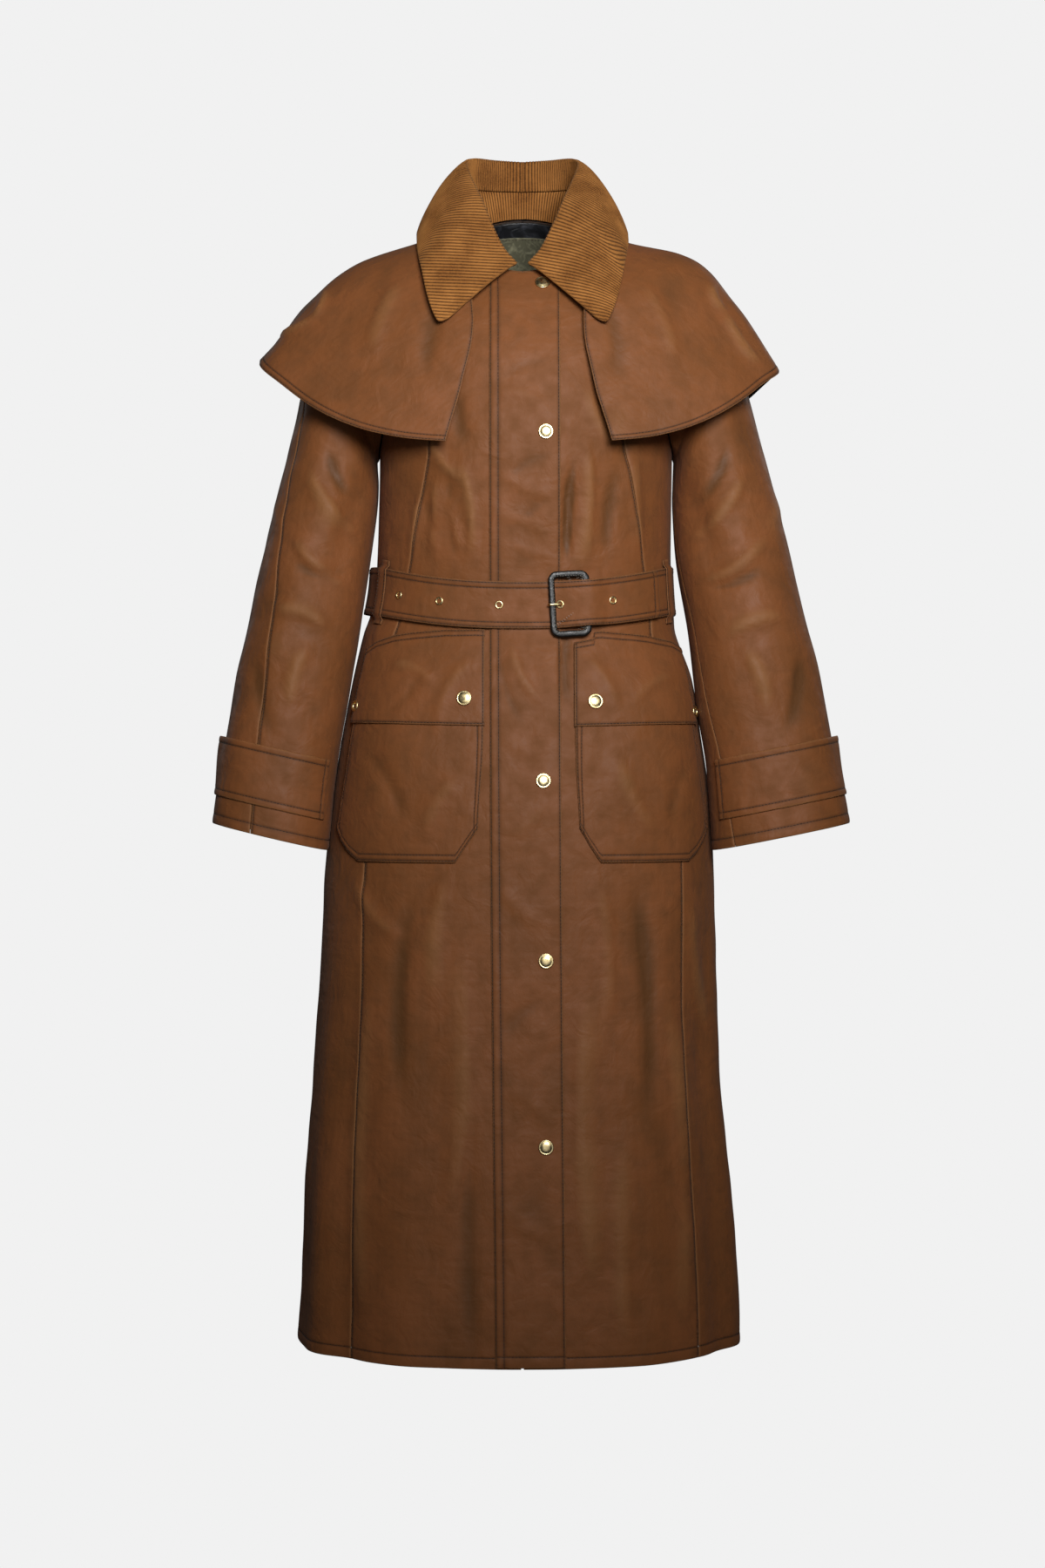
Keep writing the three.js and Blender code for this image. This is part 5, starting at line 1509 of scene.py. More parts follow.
@dataclass
class BodyShell:
    """The two fronts, their side pieces, the back, the storm fly and the lining inside the neck."""

    skin: BodySkin
    finishes: Finishes
    threads: Threads
    flat_seam: float = 6.5
    hem_line: float = 11.0
    fly_line: float = 8.8
    fly_edge: float = 1.8

    @staticmethod
    def side_edge(which: str, sign: float) -> Curve:
        """The edge of a panel at the shoulder seam, the armhole or the side seam."""

        def edge(v: Array) -> Array:
            """Turns along the edge."""
            inside = (v >= ARMHOLE_TOP) & (v <= ARMHOLE_END)
            turn = np.where(inside, ARMHOLE.straight(which, v), 90.0)
            return turn if sign > 0 else (360 - turn if which == "back" else -turn)

        return edge

    def build(self) -> None:
        """Makes the panels, the storm fly and the neck lining."""
        skin = self.skin
        front_right = lambda v: -FRONT_SEAM.straight("right", v)
        front_left = lambda v: FRONT_SEAM.straight("left", v)
        right = moved(skin, front_right, SEAM)
        right_side = moved(skin, front_right, -SEAM)
        left = moved(skin, front_left, -SEAM)
        left_side = moved(skin, front_left, SEAM)
        side_right = moved(skin, self.side_edge("front", -1), SEAM)
        side_left = moved(skin, self.side_edge("front", 1), -SEAM)
        back_left = moved(skin, self.side_edge("back", 1), SEAM)
        back_right = moved(skin, self.side_edge("back", -1), -SEAM)
        middle_left = moved(skin, level(BACK_SEAM), -SEAM)
        middle_right = moved(skin, level(BACK_SEAM), SEAM)
        from_edge = Seam(Edge.FROM, (EDGE_STITCH,))
        to_edge = Seam(Edge.TO, (EDGE_STITCH,))
        felled = (EDGE_STITCH, self.flat_seam)
        panels = (
            ("front_right", right, level(-0.15), (from_edge,), "front_left"),
            ("front_left", level(0.15), left, (to_edge,), "side_front_left"),
            ("side_front_right", side_right, right_side, (), "front_right"),
            ("side_front_left", left_side, side_left, (), "back_left"),
            ("back_left", back_left, middle_left, (Seam(Edge.FROM, felled), to_edge), "back_right"),
            ("back_right", middle_right, back_right, (Seam(Edge.TO, felled),), "side_front_right"),
        )
        for name, start, stop, seams, beside in panels:
            self.build_panel(name, "", panel(start, stop, NECK, BELT_DROP - SEAM), seams, beside)
            skirt = panel(start, stop, BELT_DROP + SEAM, HEM)
            self.build_panel(name, "skirt_", skirt, (*seams, Seam(Edge.END, (self.hem_line,))), beside)
        self.build_fly()
        self.build_neck()

    def build_panel(self, name: str, half: str, place: Place, seams: tuple[Seam, ...], beside: str) -> None:
        """Makes the half of a panel over or under the waist seam.

        Args:
            name: the panel's name.
            half: what stands before the names of this half.
            place: where the piece lies.
            seams: its stitching.
            beside: the panel that it is sewn to.
        """
        full = half + name
        piece = Cloth(full, self.skin, place, even(-CLOTH), CLOTH, seams)
        mounted(full, piece.build(self.finishes.cotton), "waxed_cotton", full)
        piece.sew(self.threads, "stitching_body")
        piece.declare([half + beside])

    def build_fly(self) -> None:
        """Makes the strip over the closure, stitched twice at its sewn edge and once at its free edge."""
        place = panel(
            lambda v: self.skin.turn_at(FLY.smooth("sewn", v), v),
            lambda v: self.skin.turn_at(FLY.smooth("free", v), v),
            NECK + FLY_TOP_DROP,
            HEM - FLY_HEM_RISE,
        )
        seams = (
            Seam(Edge.FROM, (FLY_STITCH, self.fly_line)),
            Seam(Edge.TO, (self.fly_edge,)),
            Seam(Edge.END, (self.hem_line,)),
        )
        fly = Cloth("storm_fly", self.skin, place, even(AIR), CLOTH, seams, 4.0)
        mounted("storm_fly", fly.build(self.finishes.cotton), "waxed_cotton", "storm_fly")
        fly.sew(self.threads, "stitching_fly")
        fly.declare(["front_right"])

    def build_neck(self) -> None:
        """Makes the lining and the bare label patch inside the back neck."""
        base = -CLOTH - AIR - LINING
        lining_place = panel(level(110), level(250), -17, 42)
        lining = Cloth("neck_lining", self.skin, lining_place, even(base), LINING, (), 4.0)
        mounted("neck_lining", lining.build(self.finishes.lining), "lining_black", "neck_lining")
        lining.declare(["collar_stand"])
        patch_place = panel(level(160), level(200), -7, 24)
        border = tuple(Seam(edge, (2.0,)) for edge in Edge)
        patch = Cloth("neck_patch", self.skin, patch_place, even(base - AIR - LINING), LINING, border, 3.0)
        mounted("neck_patch", patch.build(self.finishes.patch), "patch_olive", "neck_patch")
        patch.sew(self.threads, "stitching_patch", under=True)
        patch.declare(["neck_lining"])


@dataclass
class SleevePair:
    """Both sleeves, each of two pieces, with a broad tab round the cuff."""

    skins: dict[str, SleeveSkin]
    finishes: Finishes
    threads: Threads
    cuff_line: float = 10.0
    tab_line: float = 6.5

    def build(self) -> None:
        """Makes the sleeves and their tabs."""
        for side, skin in self.skins.items():
            self.build_sleeve(side, skin)
            self.build_tab(side, skin)

    def build_sleeve(self, side: str, skin: SleeveSkin) -> None:
        """Makes the front and the back piece of one sleeve."""
        outer = lambda run: SLEEVE_SEAMS.smooth(side + "Outer", run)
        inner = lambda run: SLEEVE_SEAMS.smooth(side + "Inner", run)
        cuff = Seam(Edge.END, (self.cuff_line,))
        reach = 2.0
        pieces = (
            (
                "sleeve_front_" + side,
                moved(skin, inner, 1.5 * SEAM, reach),
                moved(skin, outer, -1.5 * SEAM, reach),
                (cuff, Seam(Edge.TO, (LAP_STITCH,))),
                "side_front_" + side,
            ),
            (
                "sleeve_back_" + side,
                moved(skin, outer, SEAM, reach),
                moved(skin, lambda run: inner(run) + 360, -SEAM, reach),
                (cuff,),
                "back_" + side,
            ),
        )
        for name, start, stop, seams, rests_on in pieces:
            piece = Cloth(name, skin, panel(start, stop, 0.0, SLEEVE_LAST), even(-CLOTH), CLOTH, seams)
            mounted(name, piece.build(self.finishes.cotton), "waxed_cotton", name)
            piece.sew(self.threads, "stitching_sleeves")
            piece.declare([rests_on])

    def build_tab(self, side: str, skin: SleeveSkin) -> None:
        """Makes the cuff tab, which flares at the outer side of the arm."""

        def lift(u: Array, v: Array) -> Array:
            """Height of the tab over the sleeve."""
            return AIR + TAB_FLARE * bell(u - 92, 12) * smoothstep(TAB_END - v, 0, TAB_END - TAB_TOP)

        seams = tuple(Seam(edge, (self.tab_line,), 6.0) for edge in Edge)
        place = panel(level(TAB_FROM), level(TAB_TO), TAB_TOP, TAB_END)
        name = "cuff_tab_" + side
        tab = Cloth(name, skin, place, lift, CLOTH, seams, 3.5)
        mounted(name, tab.build(self.finishes.cotton), "waxed_cotton", name)
        tab.sew(self.threads, "stitching_sleeves")
        tab.declare(["sleeve_front_" + side])


@dataclass
class ShoulderCape:
    """The cape over the shoulders and its lining, which shows at both points."""

    skin: CapeSkin
    finishes: Finishes
    threads: Threads
    edge_line: float = 7.0
    set_back: float = 3.0

    def build(self) -> None:
        """Makes the cape and its lining."""
        start = lambda v: CAPE_FRONT.smooth("left", v)
        stop = lambda v: 360 - CAPE_FRONT.smooth("right", v)
        hem = Seam(Edge.END, (EDGE_STITCH, self.edge_line))
        from_edge = Seam(Edge.FROM, (EDGE_STITCH,))
        to_edge = Seam(Edge.TO, (EDGE_STITCH,))
        halves = (
            ("left", start, moved(self.skin, level(BACK_SEAM), -SEAM), (hem, from_edge, to_edge)),
            ("right", moved(self.skin, level(BACK_SEAM), SEAM), stop, (hem, to_edge)),
        )
        for side, first, last, seams in halves:
            name = "cape_" + side
            cape = Cloth(name, self.skin, panel(first, last, 0, 1), even(-CLOTH), CLOTH, seams)
            mounted(name, cape.build(self.finishes.cotton), "waxed_cotton", name)
            cape.sew(self.threads, "stitching_cape")
            cape.declare(["back_" + side, "front_" + side])
        inner = moved(self.skin, start, self.set_back), moved(self.skin, stop, -self.set_back)
        place = panel(*inner, 0, 0.985)
        lining = Cloth("cape_lining", self.skin, place, even(-CLOTH - AIR - LINING), LINING, (), 8.0)
        mounted("cape_lining", lining.build(self.finishes.lining), "lining_black", "cape_lining")
        lining.declare(["cape_left", "cape_right"])


@dataclass
class CordCollar:
    """The corduroy collar and its stand, with every wale modelled."""

    skin: CollarSkin
    stand: StandSkin
    finishes: Finishes
    threads: Threads
    wale_height: float = 0.42
    row_step: float = 3.6
    steps_a_wale: int = 4

    @staticmethod
    def zip_rows(rows: Sequence[tuple[Array, int]]) -> Array:
        """Triangles between rows of points whose keys grow along them.

        Args:
            rows: for each row its keys and the index of its first point.

        Returns:
            The triangles.
        """
        faces: list[tuple[int, int, int]] = []
        for (top, top_base), (low, low_base) in zip(rows, rows[1:]):
            i = j = 0
            while i < len(top) - 1 or j < len(low) - 1:
                next_top = top[i + 1] if i < len(top) - 1 else math.inf
                next_low = low[j + 1] if j < len(low) - 1 else math.inf
                if abs(next_top - next_low) < 1e-6:
                    faces.append((top_base + i, low_base + j, low_base + j + 1))
                    faces.append((top_base + i, low_base + j + 1, top_base + i + 1))
                    i += 1
                    j += 1
                elif next_top < next_low:
                    faces.append((top_base + i, low_base + j, top_base + i + 1))
                    i += 1
                else:
                    faces.append((top_base + i, low_base + j, low_base + j + 1))
                    j += 1
        return np.array(faces)

    def ribbed(self, name: str, skin: Skin, limit: Callable[[float], float], pitch: float) -> tuple:
        """Makes a piece of corduroy whose columns of points follow its wales.

        Args:
            name: the piece's name.
            skin: what it lies on.
            limit: the last place along the collar for each share down it.
            pitch: millimetres from wale to wale.

        Returns:
            The object, and its width, length and area in metres.
        """
        share = np.linspace(0, 1, 200)
        parts = (0, 0.2, 0.4, 0.6, 0.85, 0.95)
        lines = [skin.form(np.full_like(share, part * limit(0.5)), share) for part in parts]
        line = max(lines, key=lambda points: np.linalg.norm(np.diff(points, axis=0), axis=1).sum())
        reach = np.concatenate([[0], np.cumsum(np.linalg.norm(np.diff(line, axis=0), axis=1))])
        count = max(3, round(reach[-1] / self.row_step))
        levels = np.interp(np.linspace(0, reach[-1], count + 1), reach, share)
        levels = np.unique(np.concatenate([levels, [0.004, 0.993]]))
        table = np.linspace(-1, 1, 900)
        middle = skin.form(table, np.full_like(table, 0.6))
        tangent = skin.over_wales(table, unit(np.gradient(middle, axis=0)))
        stride = (np.diff(middle, axis=0) * (tangent[1:] + tangent[:-1]) / 2).sum(1)
        travel = np.concatenate([[0], np.cumsum(np.maximum(stride, 0.0))])
        travel -= np.interp(0, table, travel)
        step = pitch / self.steps_a_wale
        rows, forms, tops, unders, wales, flats = [], [], [], [], [], []
        base = 0
        length = 0.0
        for level in levels:
            end = limit(float(level))
            fine = np.linspace(-end, end, 1400)
            form = skin.form(fine, np.full_like(fine, level))
            mid = np.stack([np.interp(fine, table, middle[:, i]) for i in range(3)], axis=1)
            way = unit(np.stack([np.interp(fine, table, tangent[:, i]) for i in range(3)], axis=1))
            phase = np.interp(fine, table, travel) + ((form - mid) * way).sum(1)
            phase = np.maximum.accumulate(phase) + np.arange(len(phase)) * 1e-5
            low, high = phase[0], phase[-1]
            numbers = np.arange(math.ceil((low + 0.3) / step), math.floor((high - 0.3) / step) + 1)
            keys = np.concatenate([[low], numbers * step, [high]])
            u = np.interp(keys, phase, fine)
            v = np.full_like(u, level)
            wave = np.cos(keys * 2 * math.pi / pitch)
            wave[[0, -1]] = -0.2
            points = skin.form(u, v)
            normals = skin.normal(u, v)
            lift = skin.relief(u, v, points, normals)
            rim = 0.5 + 0.5 * smoothstep(np.minimum(v, 1 - v) * reach[-1], 0, 1.0)
            thick = CORD * rim
            thick[[0, -1]] *= 0.6
            outward = (thick - CORD) / 2 + self.wale_height * wave + lift
            forms.append(points)
            tops.append(points + normals * outward[:, None])
            unders.append(points + normals * (lift - (CORD + thick) / 2)[:, None])
            wales.append(0.5 + 0.5 * wave)
            flats.append(np.stack([keys, -v * reach[-1]], axis=1))
            rows.append((keys, base))
            base += len(keys)
            length = max(length, float(np.linalg.norm(np.diff(points, axis=0), axis=1).sum()))
        top = self.zip_rows(rows)
        smooth = np.concatenate(forms)
        first, second, third = (smooth[top[:, i]] for i in range(3))
        area = float(np.linalg.norm(np.cross(second - first, third - first), axis=1).sum()) / 2
        rim = np.concatenate(
            [np.arange(len(rows[0][0]))[::-1]]
            + [np.array([start]) for _, start in rows[1:]]
            + [np.arange(rows[-1][1] + 1, base)]
            + [np.array([start + len(keys) - 1]) for keys, start in rows[-2:0:-1]]
        )
        after = np.roll(rim, -1)
        walls = np.stack([rim, rim + base, after + base, after], axis=1)
        under = top[:, ::-1] + base
        triangles = np.concatenate([top, under])
        if skin.facing < 0:
            triangles, walls = triangles[:, ::-1], walls[:, ::-1]
        points = np.concatenate([*tops, *unders])
        flat = np.concatenate([*flats, *flats])
        values = {"wale": np.concatenate([*wales, np.full(base, 0.55)])}
        made = make_object(name, points, [triangles, walls], [self.finishes.corduroy], flat, values)
        return made, (length * MM, float(reach[-1]) * MM, area * MM * MM)

    def collar_limit(self, level: float) -> float:
        """The last place along the collar, with its tip rounded."""
        into = max(0.0, level - 0.9) / 0.1
        return 1.0 - 0.05 * (1 - math.sqrt(max(0.0, 1 - into**2)))

    def build(self) -> None:
        """Makes the collar and the stand."""
        for name, skin, limit, pitch, rests_on in (
            ("collar", self.skin, self.collar_limit, WALE, ["collar_stand"]),
            ("collar_stand", self.stand, lambda level: STAND_END, WALE * 0.8, ["back_left", "back_right"]),
        ):
            made, (width, length, area) = self.ribbed(name, skin, limit, pitch)
            mounted(name, made, "corduroy", name)
            size = (round(width, 3) + 0.002, round(length, 3) + 0.002)
            area = round(min(area, size[0] * size[1]), 4)
            LOG.info("sheet %s: %.3f x %.3f m, %.4f square metres", name, *size, area)


@dataclass
class Pocket:
    """A patch pocket with its flap, on one side of the skirt."""

    side: str
    skin: BodySkin
    finishes: Finishes
    threads: Threads
    line: float = 7.5
    flap_line: float = 7.0

    def __post_init__(self) -> None:
        """Picks the tables of this side."""
        self.edges = POCKET_SIDES[self.side]
        self.bottom = POCKET_BOTTOM[self.side]
        self.flap_top = FLAP_TOP[self.side]

    def swell(self, u: Array, v: Array) -> Array:
        """How far the pocket stands off the skirt."""
        ends = [self.skin.turn_at(self.edges.straight(name, v), v) for name in ("inner", "outer")]
        across = np.clip((u - ends[0]) / (ends[1] - ends[0]), 0, 1)
        down = np.clip((v - POCKET_TOP) / (POCKET_END - POCKET_TOP), 0, 1)
        return POCKET_SWELL * np.sin(across * math.pi) ** 0.8 * np.sin(down * math.pi) ** 0.8

    def pocket_place(self, a: Array, b: Array) -> tuple[Array, Array]:
        """Shares across and down the pocket to u and v."""
        low, high = self.bottom.keys[0], self.bottom.keys[-1]
        foot = mix(low, high, a)
        edge = self.bottom.straight("drop", foot)
        ends = sorted((float(self.edges.rows[0, 1]), float(self.edges.rows[0, 2])))
        v = mix(POCKET_TOP, edge, b)
        sides = [self.edges.straight(name, v) for name in ("inner", "outer")]
        small, big = np.minimum(*sides), np.maximum(*sides)
        inside = mix(small, big, a)
        x = mix(inside, mix(mix(ends[0], ends[1], a), foot, b), smoothstep(b, 0.6, 1.0))
        return self.skin.turn_at(x, v), v

    def flap_place(self, a: Array, b: Array) -> tuple[Array, Array]:
        """Shares across and down the flap to u and v."""
        inner, outer_top, outer_end, end = FLAP_ENDS[self.side]
        share = a if self.side == "left" else 1 - a
        top_x = mix(inner, outer_top, share)
        x = mix(top_x, mix(inner, outer_end, share), b)
        v = mix(self.flap_top.straight("drop", top_x), end, b)
        return self.skin.turn_at(x, v), v

    def build(self) -> None:
        """Makes the pocket and the flap over it."""
        inner, outer = (Edge.FROM, Edge.TO) if self.side == "left" else (Edge.TO, Edge.FROM)
        rims = (inner, outer, Edge.END)
        pocket_seams = tuple(Seam(edge, (LAP_STITCH, self.line)) for edge in rims)
        flap_seams = tuple(Seam(edge, (LAP_STITCH,)) for edge in rims)
        flap_seams += (Seam(Edge.TOP, (EDGE_STITCH, self.flap_line)),)
        for kind, place, base, seams, rests_on in (
            ("pocket_", self.pocket_place, POCKET_BASE, pocket_seams, ["skirt_front_" + self.side]),
            ("flap_", self.flap_place, POCKET_BASE + CLOTH + FLAP_AIR, flap_seams, ["pocket_" + self.side]),
        ):
            name = kind + self.side
            piece = Cloth(name, self.skin, place, self.lifted(base), CLOTH, seams, 4.0)
            mounted(name, piece.build(self.finishes.cotton), "waxed_cotton", name)
            piece.sew(self.threads, "stitching_pockets")
            piece.declare(rests_on)

    def lifted(self, base: float) -> Height:
        """A height over the swell of the pocket."""
        return lambda u, v: base + self.swell(u, v)

    def over_flap(self, u: float, v: float) -> float:
        """Height of the flap's outer face."""
        return POCKET_BASE + FLAP_AIR + 2 * CLOTH + float(self.swell(np.array(u), np.array(v)))


def turned(profile: Sequence[tuple[float, float]], sides: int) -> tuple[Array, Array]:
    """A turned shape from radii and heights.

    Args:
        profile: radius and height of each ring, from the outside of the foot to the middle of the top.
        sides: how many points each ring has.

    Returns:
        Points with the axis along their third coordinate, and quads.
    """
    angle = np.arange(sides) * 2 * math.pi / sides
    rings = np.array(profile)
    points = spots(rings[:, :1] * np.cos(angle), rings[:, :1] * np.sin(angle), rings[:, 1:] + 0 * angle)
    k = np.arange(sides)
    after = (k + 1) % sides
    bands = [
        np.stack([i * sides + k, i * sides + after, (i + 1) * sides + after, (i + 1) * sides + k], axis=1)
        for i in range(len(profile) - 1)
    ]
    return points.reshape(-1, 3), np.concatenate(bands)


def set_at(points: Array, frame: tuple[Array, Array]) -> Array:
    """Points moved from a piece's own frame to its place."""
    origin, axes = frame
    return origin + points @ axes


@dataclass
class Hardware:
    """Press studs, eyelets and the rings at the sides of the pockets."""

    finishes: Finishes
    stud_radius: float = 7.6
    stud_height: float = 2.4
    sides: int = 40

    def stud(self, name: str, frame: tuple[Array, Array]) -> None:
        """Makes a press stud: a domed cap with a rolled rim."""
        r, h = self.stud_radius, self.stud_height
        profile = [(r * 0.9, -0.25), (r, 0.2), (r, 0.9), (r * 0.965, 1.4), (r * 0.9, 1.62), (r * 0.83, 1.5)]
        profile += [(r * 0.79, 1.42), (r * 0.74, 1.55), (r * 0.6, h - 0.35), (r * 0.4, h - 0.1)]
        profile += [(r * 0.2, h), (0.01, h)]
        points, faces = turned(profile, self.sides)
        mounted(name, make_object(name, set_at(points, frame), [faces], [self.finishes.brass]), "brass", name)

    def ring(self, name: str, frame: tuple[Array, Array], outer: float, hole: float, height: float) -> None:
        """Makes an eyelet: a rolled rim, its barrel and the hole behind it, closed with black lining as
        painted shade.
        """
        half = (outer - hole) / 2
        middle = (outer + hole) / 2
        profile = []
        for k in range(9):
            angle = math.pi * k / 8
            profile.append((middle + half * math.cos(angle), height * math.sin(angle)))
        profile += [(hole * 0.97, -0.6), (hole * 0.95, -1.0), (hole * 0.5, -1.15), (0.01, -1.2)]
        points, faces = turned(profile, self.sides)
        # The barrel's foot and the disc that closes the hole take the black lining: painted shade in the hole.
        which = np.zeros(len(faces), int)
        which[-3 * self.sides :] = 1
        materials = [self.finishes.brass, self.finishes.lining]
        made = make_object(name, set_at(points, frame), [faces], materials, material_index=which)
        mounted(name, made, "brass", name)


@dataclass
class Belt:
    """The stitched belt with its leather-wrapped buckle, prong, eyelets and loops."""

    skin: BodySkin
    finishes: Finishes
    threads: Threads
    hardware: Hardware
    line: float = 6.8

    def __post_init__(self) -> None:
        """Works out the path of the belt: turns and heights over the body."""
        under = BELT_OVER_FLY + STRAP + AIR + BUCKLE_CLEAR
        over = under + BUCKLE_THICK + AIR + BUCKLE_CLEAR
        self.under_buckle = under
        self.start = self.turn(BELT_START_X)
        self.tip = self.turn(BELT_TIP_X) + 360
        self.path = Table(
            "turn height",
            (self.start, BELT_OVER_FLY),
            (60, BELT_AT_BACK + 1.6),
            (BELT_RIDES_DOWN, BELT_AT_BACK),
            (BELT_BULGE_TURN - 24, BELT_AT_BACK),
            (BELT_BULGE_TURN - 12, BELT_BULGE * 0.6),
            (BELT_BULGE_TURN, BELT_BULGE),
            (BELT_BULGE_TURN + 12, BELT_BULGE * 0.5),
            (360 - BELT_RIDES_DOWN, BELT_AT_BACK),
            (320, BELT_OVER_FLY),
            (360 + self.turn(BUCKLE_LEFT_X + BUCKLE_BAR + 1), BELT_OVER_FLY),
            (360 + self.turn(BUCKLE_RIGHT_X - BUCKLE_BAR - 1), over),
            (360 + self.turn(BUCKLE_RIGHT_X + 1), over),
            (360 + self.turn(BUCKLE_RIGHT_X + 16), BELT_OVER_FLY + STRAP + 2 * AIR),
            (self.tip, BELT_AT_BACK + 1.6 + STRAP + 3 * AIR),
        )

    def turn(self, x: float) -> float:
        """The turn of the body at the belt for a width from the centre."""
        return float(self.skin.turn_at(np.array(x), np.array(BELT_DROP)))

    def height(self, u: Array, v: Array) -> Array:
        """Height of the belt's under face, eased over its bends."""
        return sum(self.path.straight("height", u + k * 0.7) for k in (-1, 0, 1)) / 3 + 0 * v

    def build(self) -> None:
        """Makes the belt and all that is on it."""
        top, end = BELT_DROP - BELT_WIDTH / 2, BELT_DROP + BELT_WIDTH / 2
        place = panel(level(self.start), self.tip_edge, top, end)
        seams = (
            Seam(Edge.TOP, (EDGE_STITCH, self.line), 5.0),
            Seam(Edge.END, (EDGE_STITCH, self.line), 5.0),
            Seam(Edge.TO, (self.line,), 6.0),
        )
        belt = Cloth("belt", self.skin, place, self.height, STRAP, seams, 4.5, pucker=0.14)
        mounted("belt", belt.build(self.finishes.cotton), "waxed_cotton", "belt")
        belt.sew(self.threads, "stitching_belt")
        belt.declare(["back_left", "back_right", "front_right", "front_left", "storm_fly"])
        for i, x in enumerate(EYELETS_X):
            turn = self.turn(x) + 360
            height = float(self.height(np.array(turn), np.array(0.0)))
            slope = float(self.height(np.array(turn + 1), np.array(0.0))) - height
            frame = self.skin.frame(turn, BELT_DROP, height + STRAP + 0.1, slope)
            self.hardware.ring("belt_eyelet_%d" % (i + 1), frame, 4.3, 2.2, 1.0)
        self.build_loops()
        self.build_buckle()

    def tip_edge(self, v: Array) -> Array:
        """The belt's end, with its corners rounded."""
        away = np.abs(v - BELT_DROP) / (BELT_WIDTH / 2)
        return self.tip - 0.9 * smoothstep(away, 0.72, 1.0) - 0.25 * away

    def build_loops(self) -> None:
        """Makes the two belt loops."""
        top, end = BELT_DROP - BELT_WIDTH / 2, BELT_DROP + BELT_WIDTH / 2
        for side, centre in (("right", -self.turn(118) - 18), ("left", self.turn(146))):
            gap = self.skin.form(np.array([centre - 1, centre + 1]), np.full(2, BELT_DROP))
            half = LOOP_WIDTH / 2 * 2 / float(np.linalg.norm(gap[1] - gap[0]))
            around = centre + 360 if centre < 0 else centre
            over = float(self.height(np.array(around), np.array(0.0))) + STRAP + 2 * AIR
            heights = Table(
                "drop lift",
                (top - LOOP_REACH, AIR),
                (top - 3, AIR),
                (top - 1.2, over),
                (end + 1.2, over),
                (end + 3, AIR),
                (end + LOOP_REACH, AIR),
            )
            place = panel(level(centre - half), level(centre + half), top - LOOP_REACH, end + LOOP_REACH)
            seams = (Seam(Edge.FROM, (2.0,)), Seam(Edge.TO, (2.0,)))
            name = "belt_loop_" + side
            lift = lambda u, v, t=heights: t.straight("lift", v) + 0 * u
            loop = Cloth(name, self.skin, place, lift, CLOTH, seams, 2.0)
            mounted(name, loop.build(self.finishes.cotton), "waxed_cotton", name)
            loop.sew(self.threads, "stitching_belt")
            loop.declare(["side_front_" + side])

    def build_buckle(self) -> None:
        """Makes the wrapped frame, its stitch ticks and the prong."""
        middle = (BUCKLE_LEFT_X + BUCKLE_RIGHT_X) / 2
        wide = BUCKLE_RIGHT_X - BUCKLE_LEFT_X
        frame = self.skin.frame(self.turn(middle), BELT_DROP, self.under_buckle)
        half = BUCKLE_BAR / 2
        w, h = wide / 2 - half, BUCKLE_HEIGHT / 2 - half
        corner = BUCKLE_CORNER - half + 1.5
        path, out = [], []
        for cx, cz, first in ((w, h, 0), (-w, h, 90), (-w, -h, 180), (w, -h, 270)):
            for step in range(9):
                angle = (first + step * 90 / 8) * RAD
                direction = np.array([math.cos(angle), math.sin(angle)])
                centre = np.array([cx - math.copysign(corner, cx), cz - math.copysign(corner, cz)])
                path.append(centre + direction * corner)
                out.append(direction)
        path, out = self.filled(np.array(path), np.array(out), 2.0)
        around = np.arange(14) * 2 * math.pi / 14
        sweep = signed_power(np.cos(around), 0.75) * (half - 0.1)
        rise = signed_power(np.sin(around), 0.75) * (BUCKLE_THICK / 2 - 0.05) + BUCKLE_THICK / 2
        count = np.arange(len(path))
        ripple = 1 + 0.035 * np.sin(count * 1.9) + 0.025 * np.sin(count * 0.73)
        flat = path[:, None] + out[:, None] * sweep[None, :, None] * ripple[:, None, None]
        points = np.concatenate([flat, np.broadcast_to(rise[None, :, None], flat.shape[:2] + (1,))], axis=2)
        n, m = points.shape[:2]
        i = np.arange(n)[:, None]
        j = np.arange(m)[None, :]
        after, ahead = (j + 1) % m, ((i + 1) % n) * m
        quads = np.stack([i * m + j, i * m + after, ahead + after, ahead + j], axis=-1).reshape(-1, 4)
        points = set_at(points.reshape(-1, 3), frame)
        made = make_object("buckle", points, [quads[:, ::-1]], [self.finishes.leather])
        mounted("buckle", made, "buckle_leather", "buckle")
        self.build_ticks(path, out, frame)
        self.build_prong(frame, wide, EYELETS_X[3] - middle)

    @staticmethod
    def filled(path: Array, out: Array, step: float) -> tuple[Array, Array]:
        """Adds points to a closed path so that none lie further apart than a step."""
        closed = np.concatenate([path, path[:1]])
        directions = np.concatenate([out, out[:1]])
        reach = np.concatenate([[0], np.cumsum(np.linalg.norm(np.diff(closed, axis=0), axis=1))])
        places = np.linspace(0, reach[-1], int(reach[-1] / step) + 1)[:-1]
        along = [
            np.stack([np.interp(places, reach, table[:, i]) for i in range(2)], axis=1)
            for table in (closed, directions)
        ]
        return along[0], unit(along[1])

    def build_ticks(self, path: Array, out: Array, frame: tuple[Array, Array]) -> None:
        """Makes the small pale stitches along the buckle's inner edge."""
        ticks = Threads(pitch=2.7, length=1.1, radius=0.22)
        inner = path - out * (BUCKLE_BAR / 2 * 0.5)
        line = np.concatenate([inner, np.full((len(inner), 1), BUCKLE_THICK * 0.93)], axis=1)
        visible = line[line[:, 0] < 17.0]
        order = np.argsort(np.arctan2(visible[:, 1], visible[:, 0] - 17.0) % (2 * math.pi))
        visible = visible[order]
        normals = np.broadcast_to(frame[1][2], visible.shape)
        ticks.sew("buckle_stitches", set_at(visible, frame), normals)
        mounted("buckle_stitches", ticks.make(self.finishes.tick)[0], "buckle_leather")

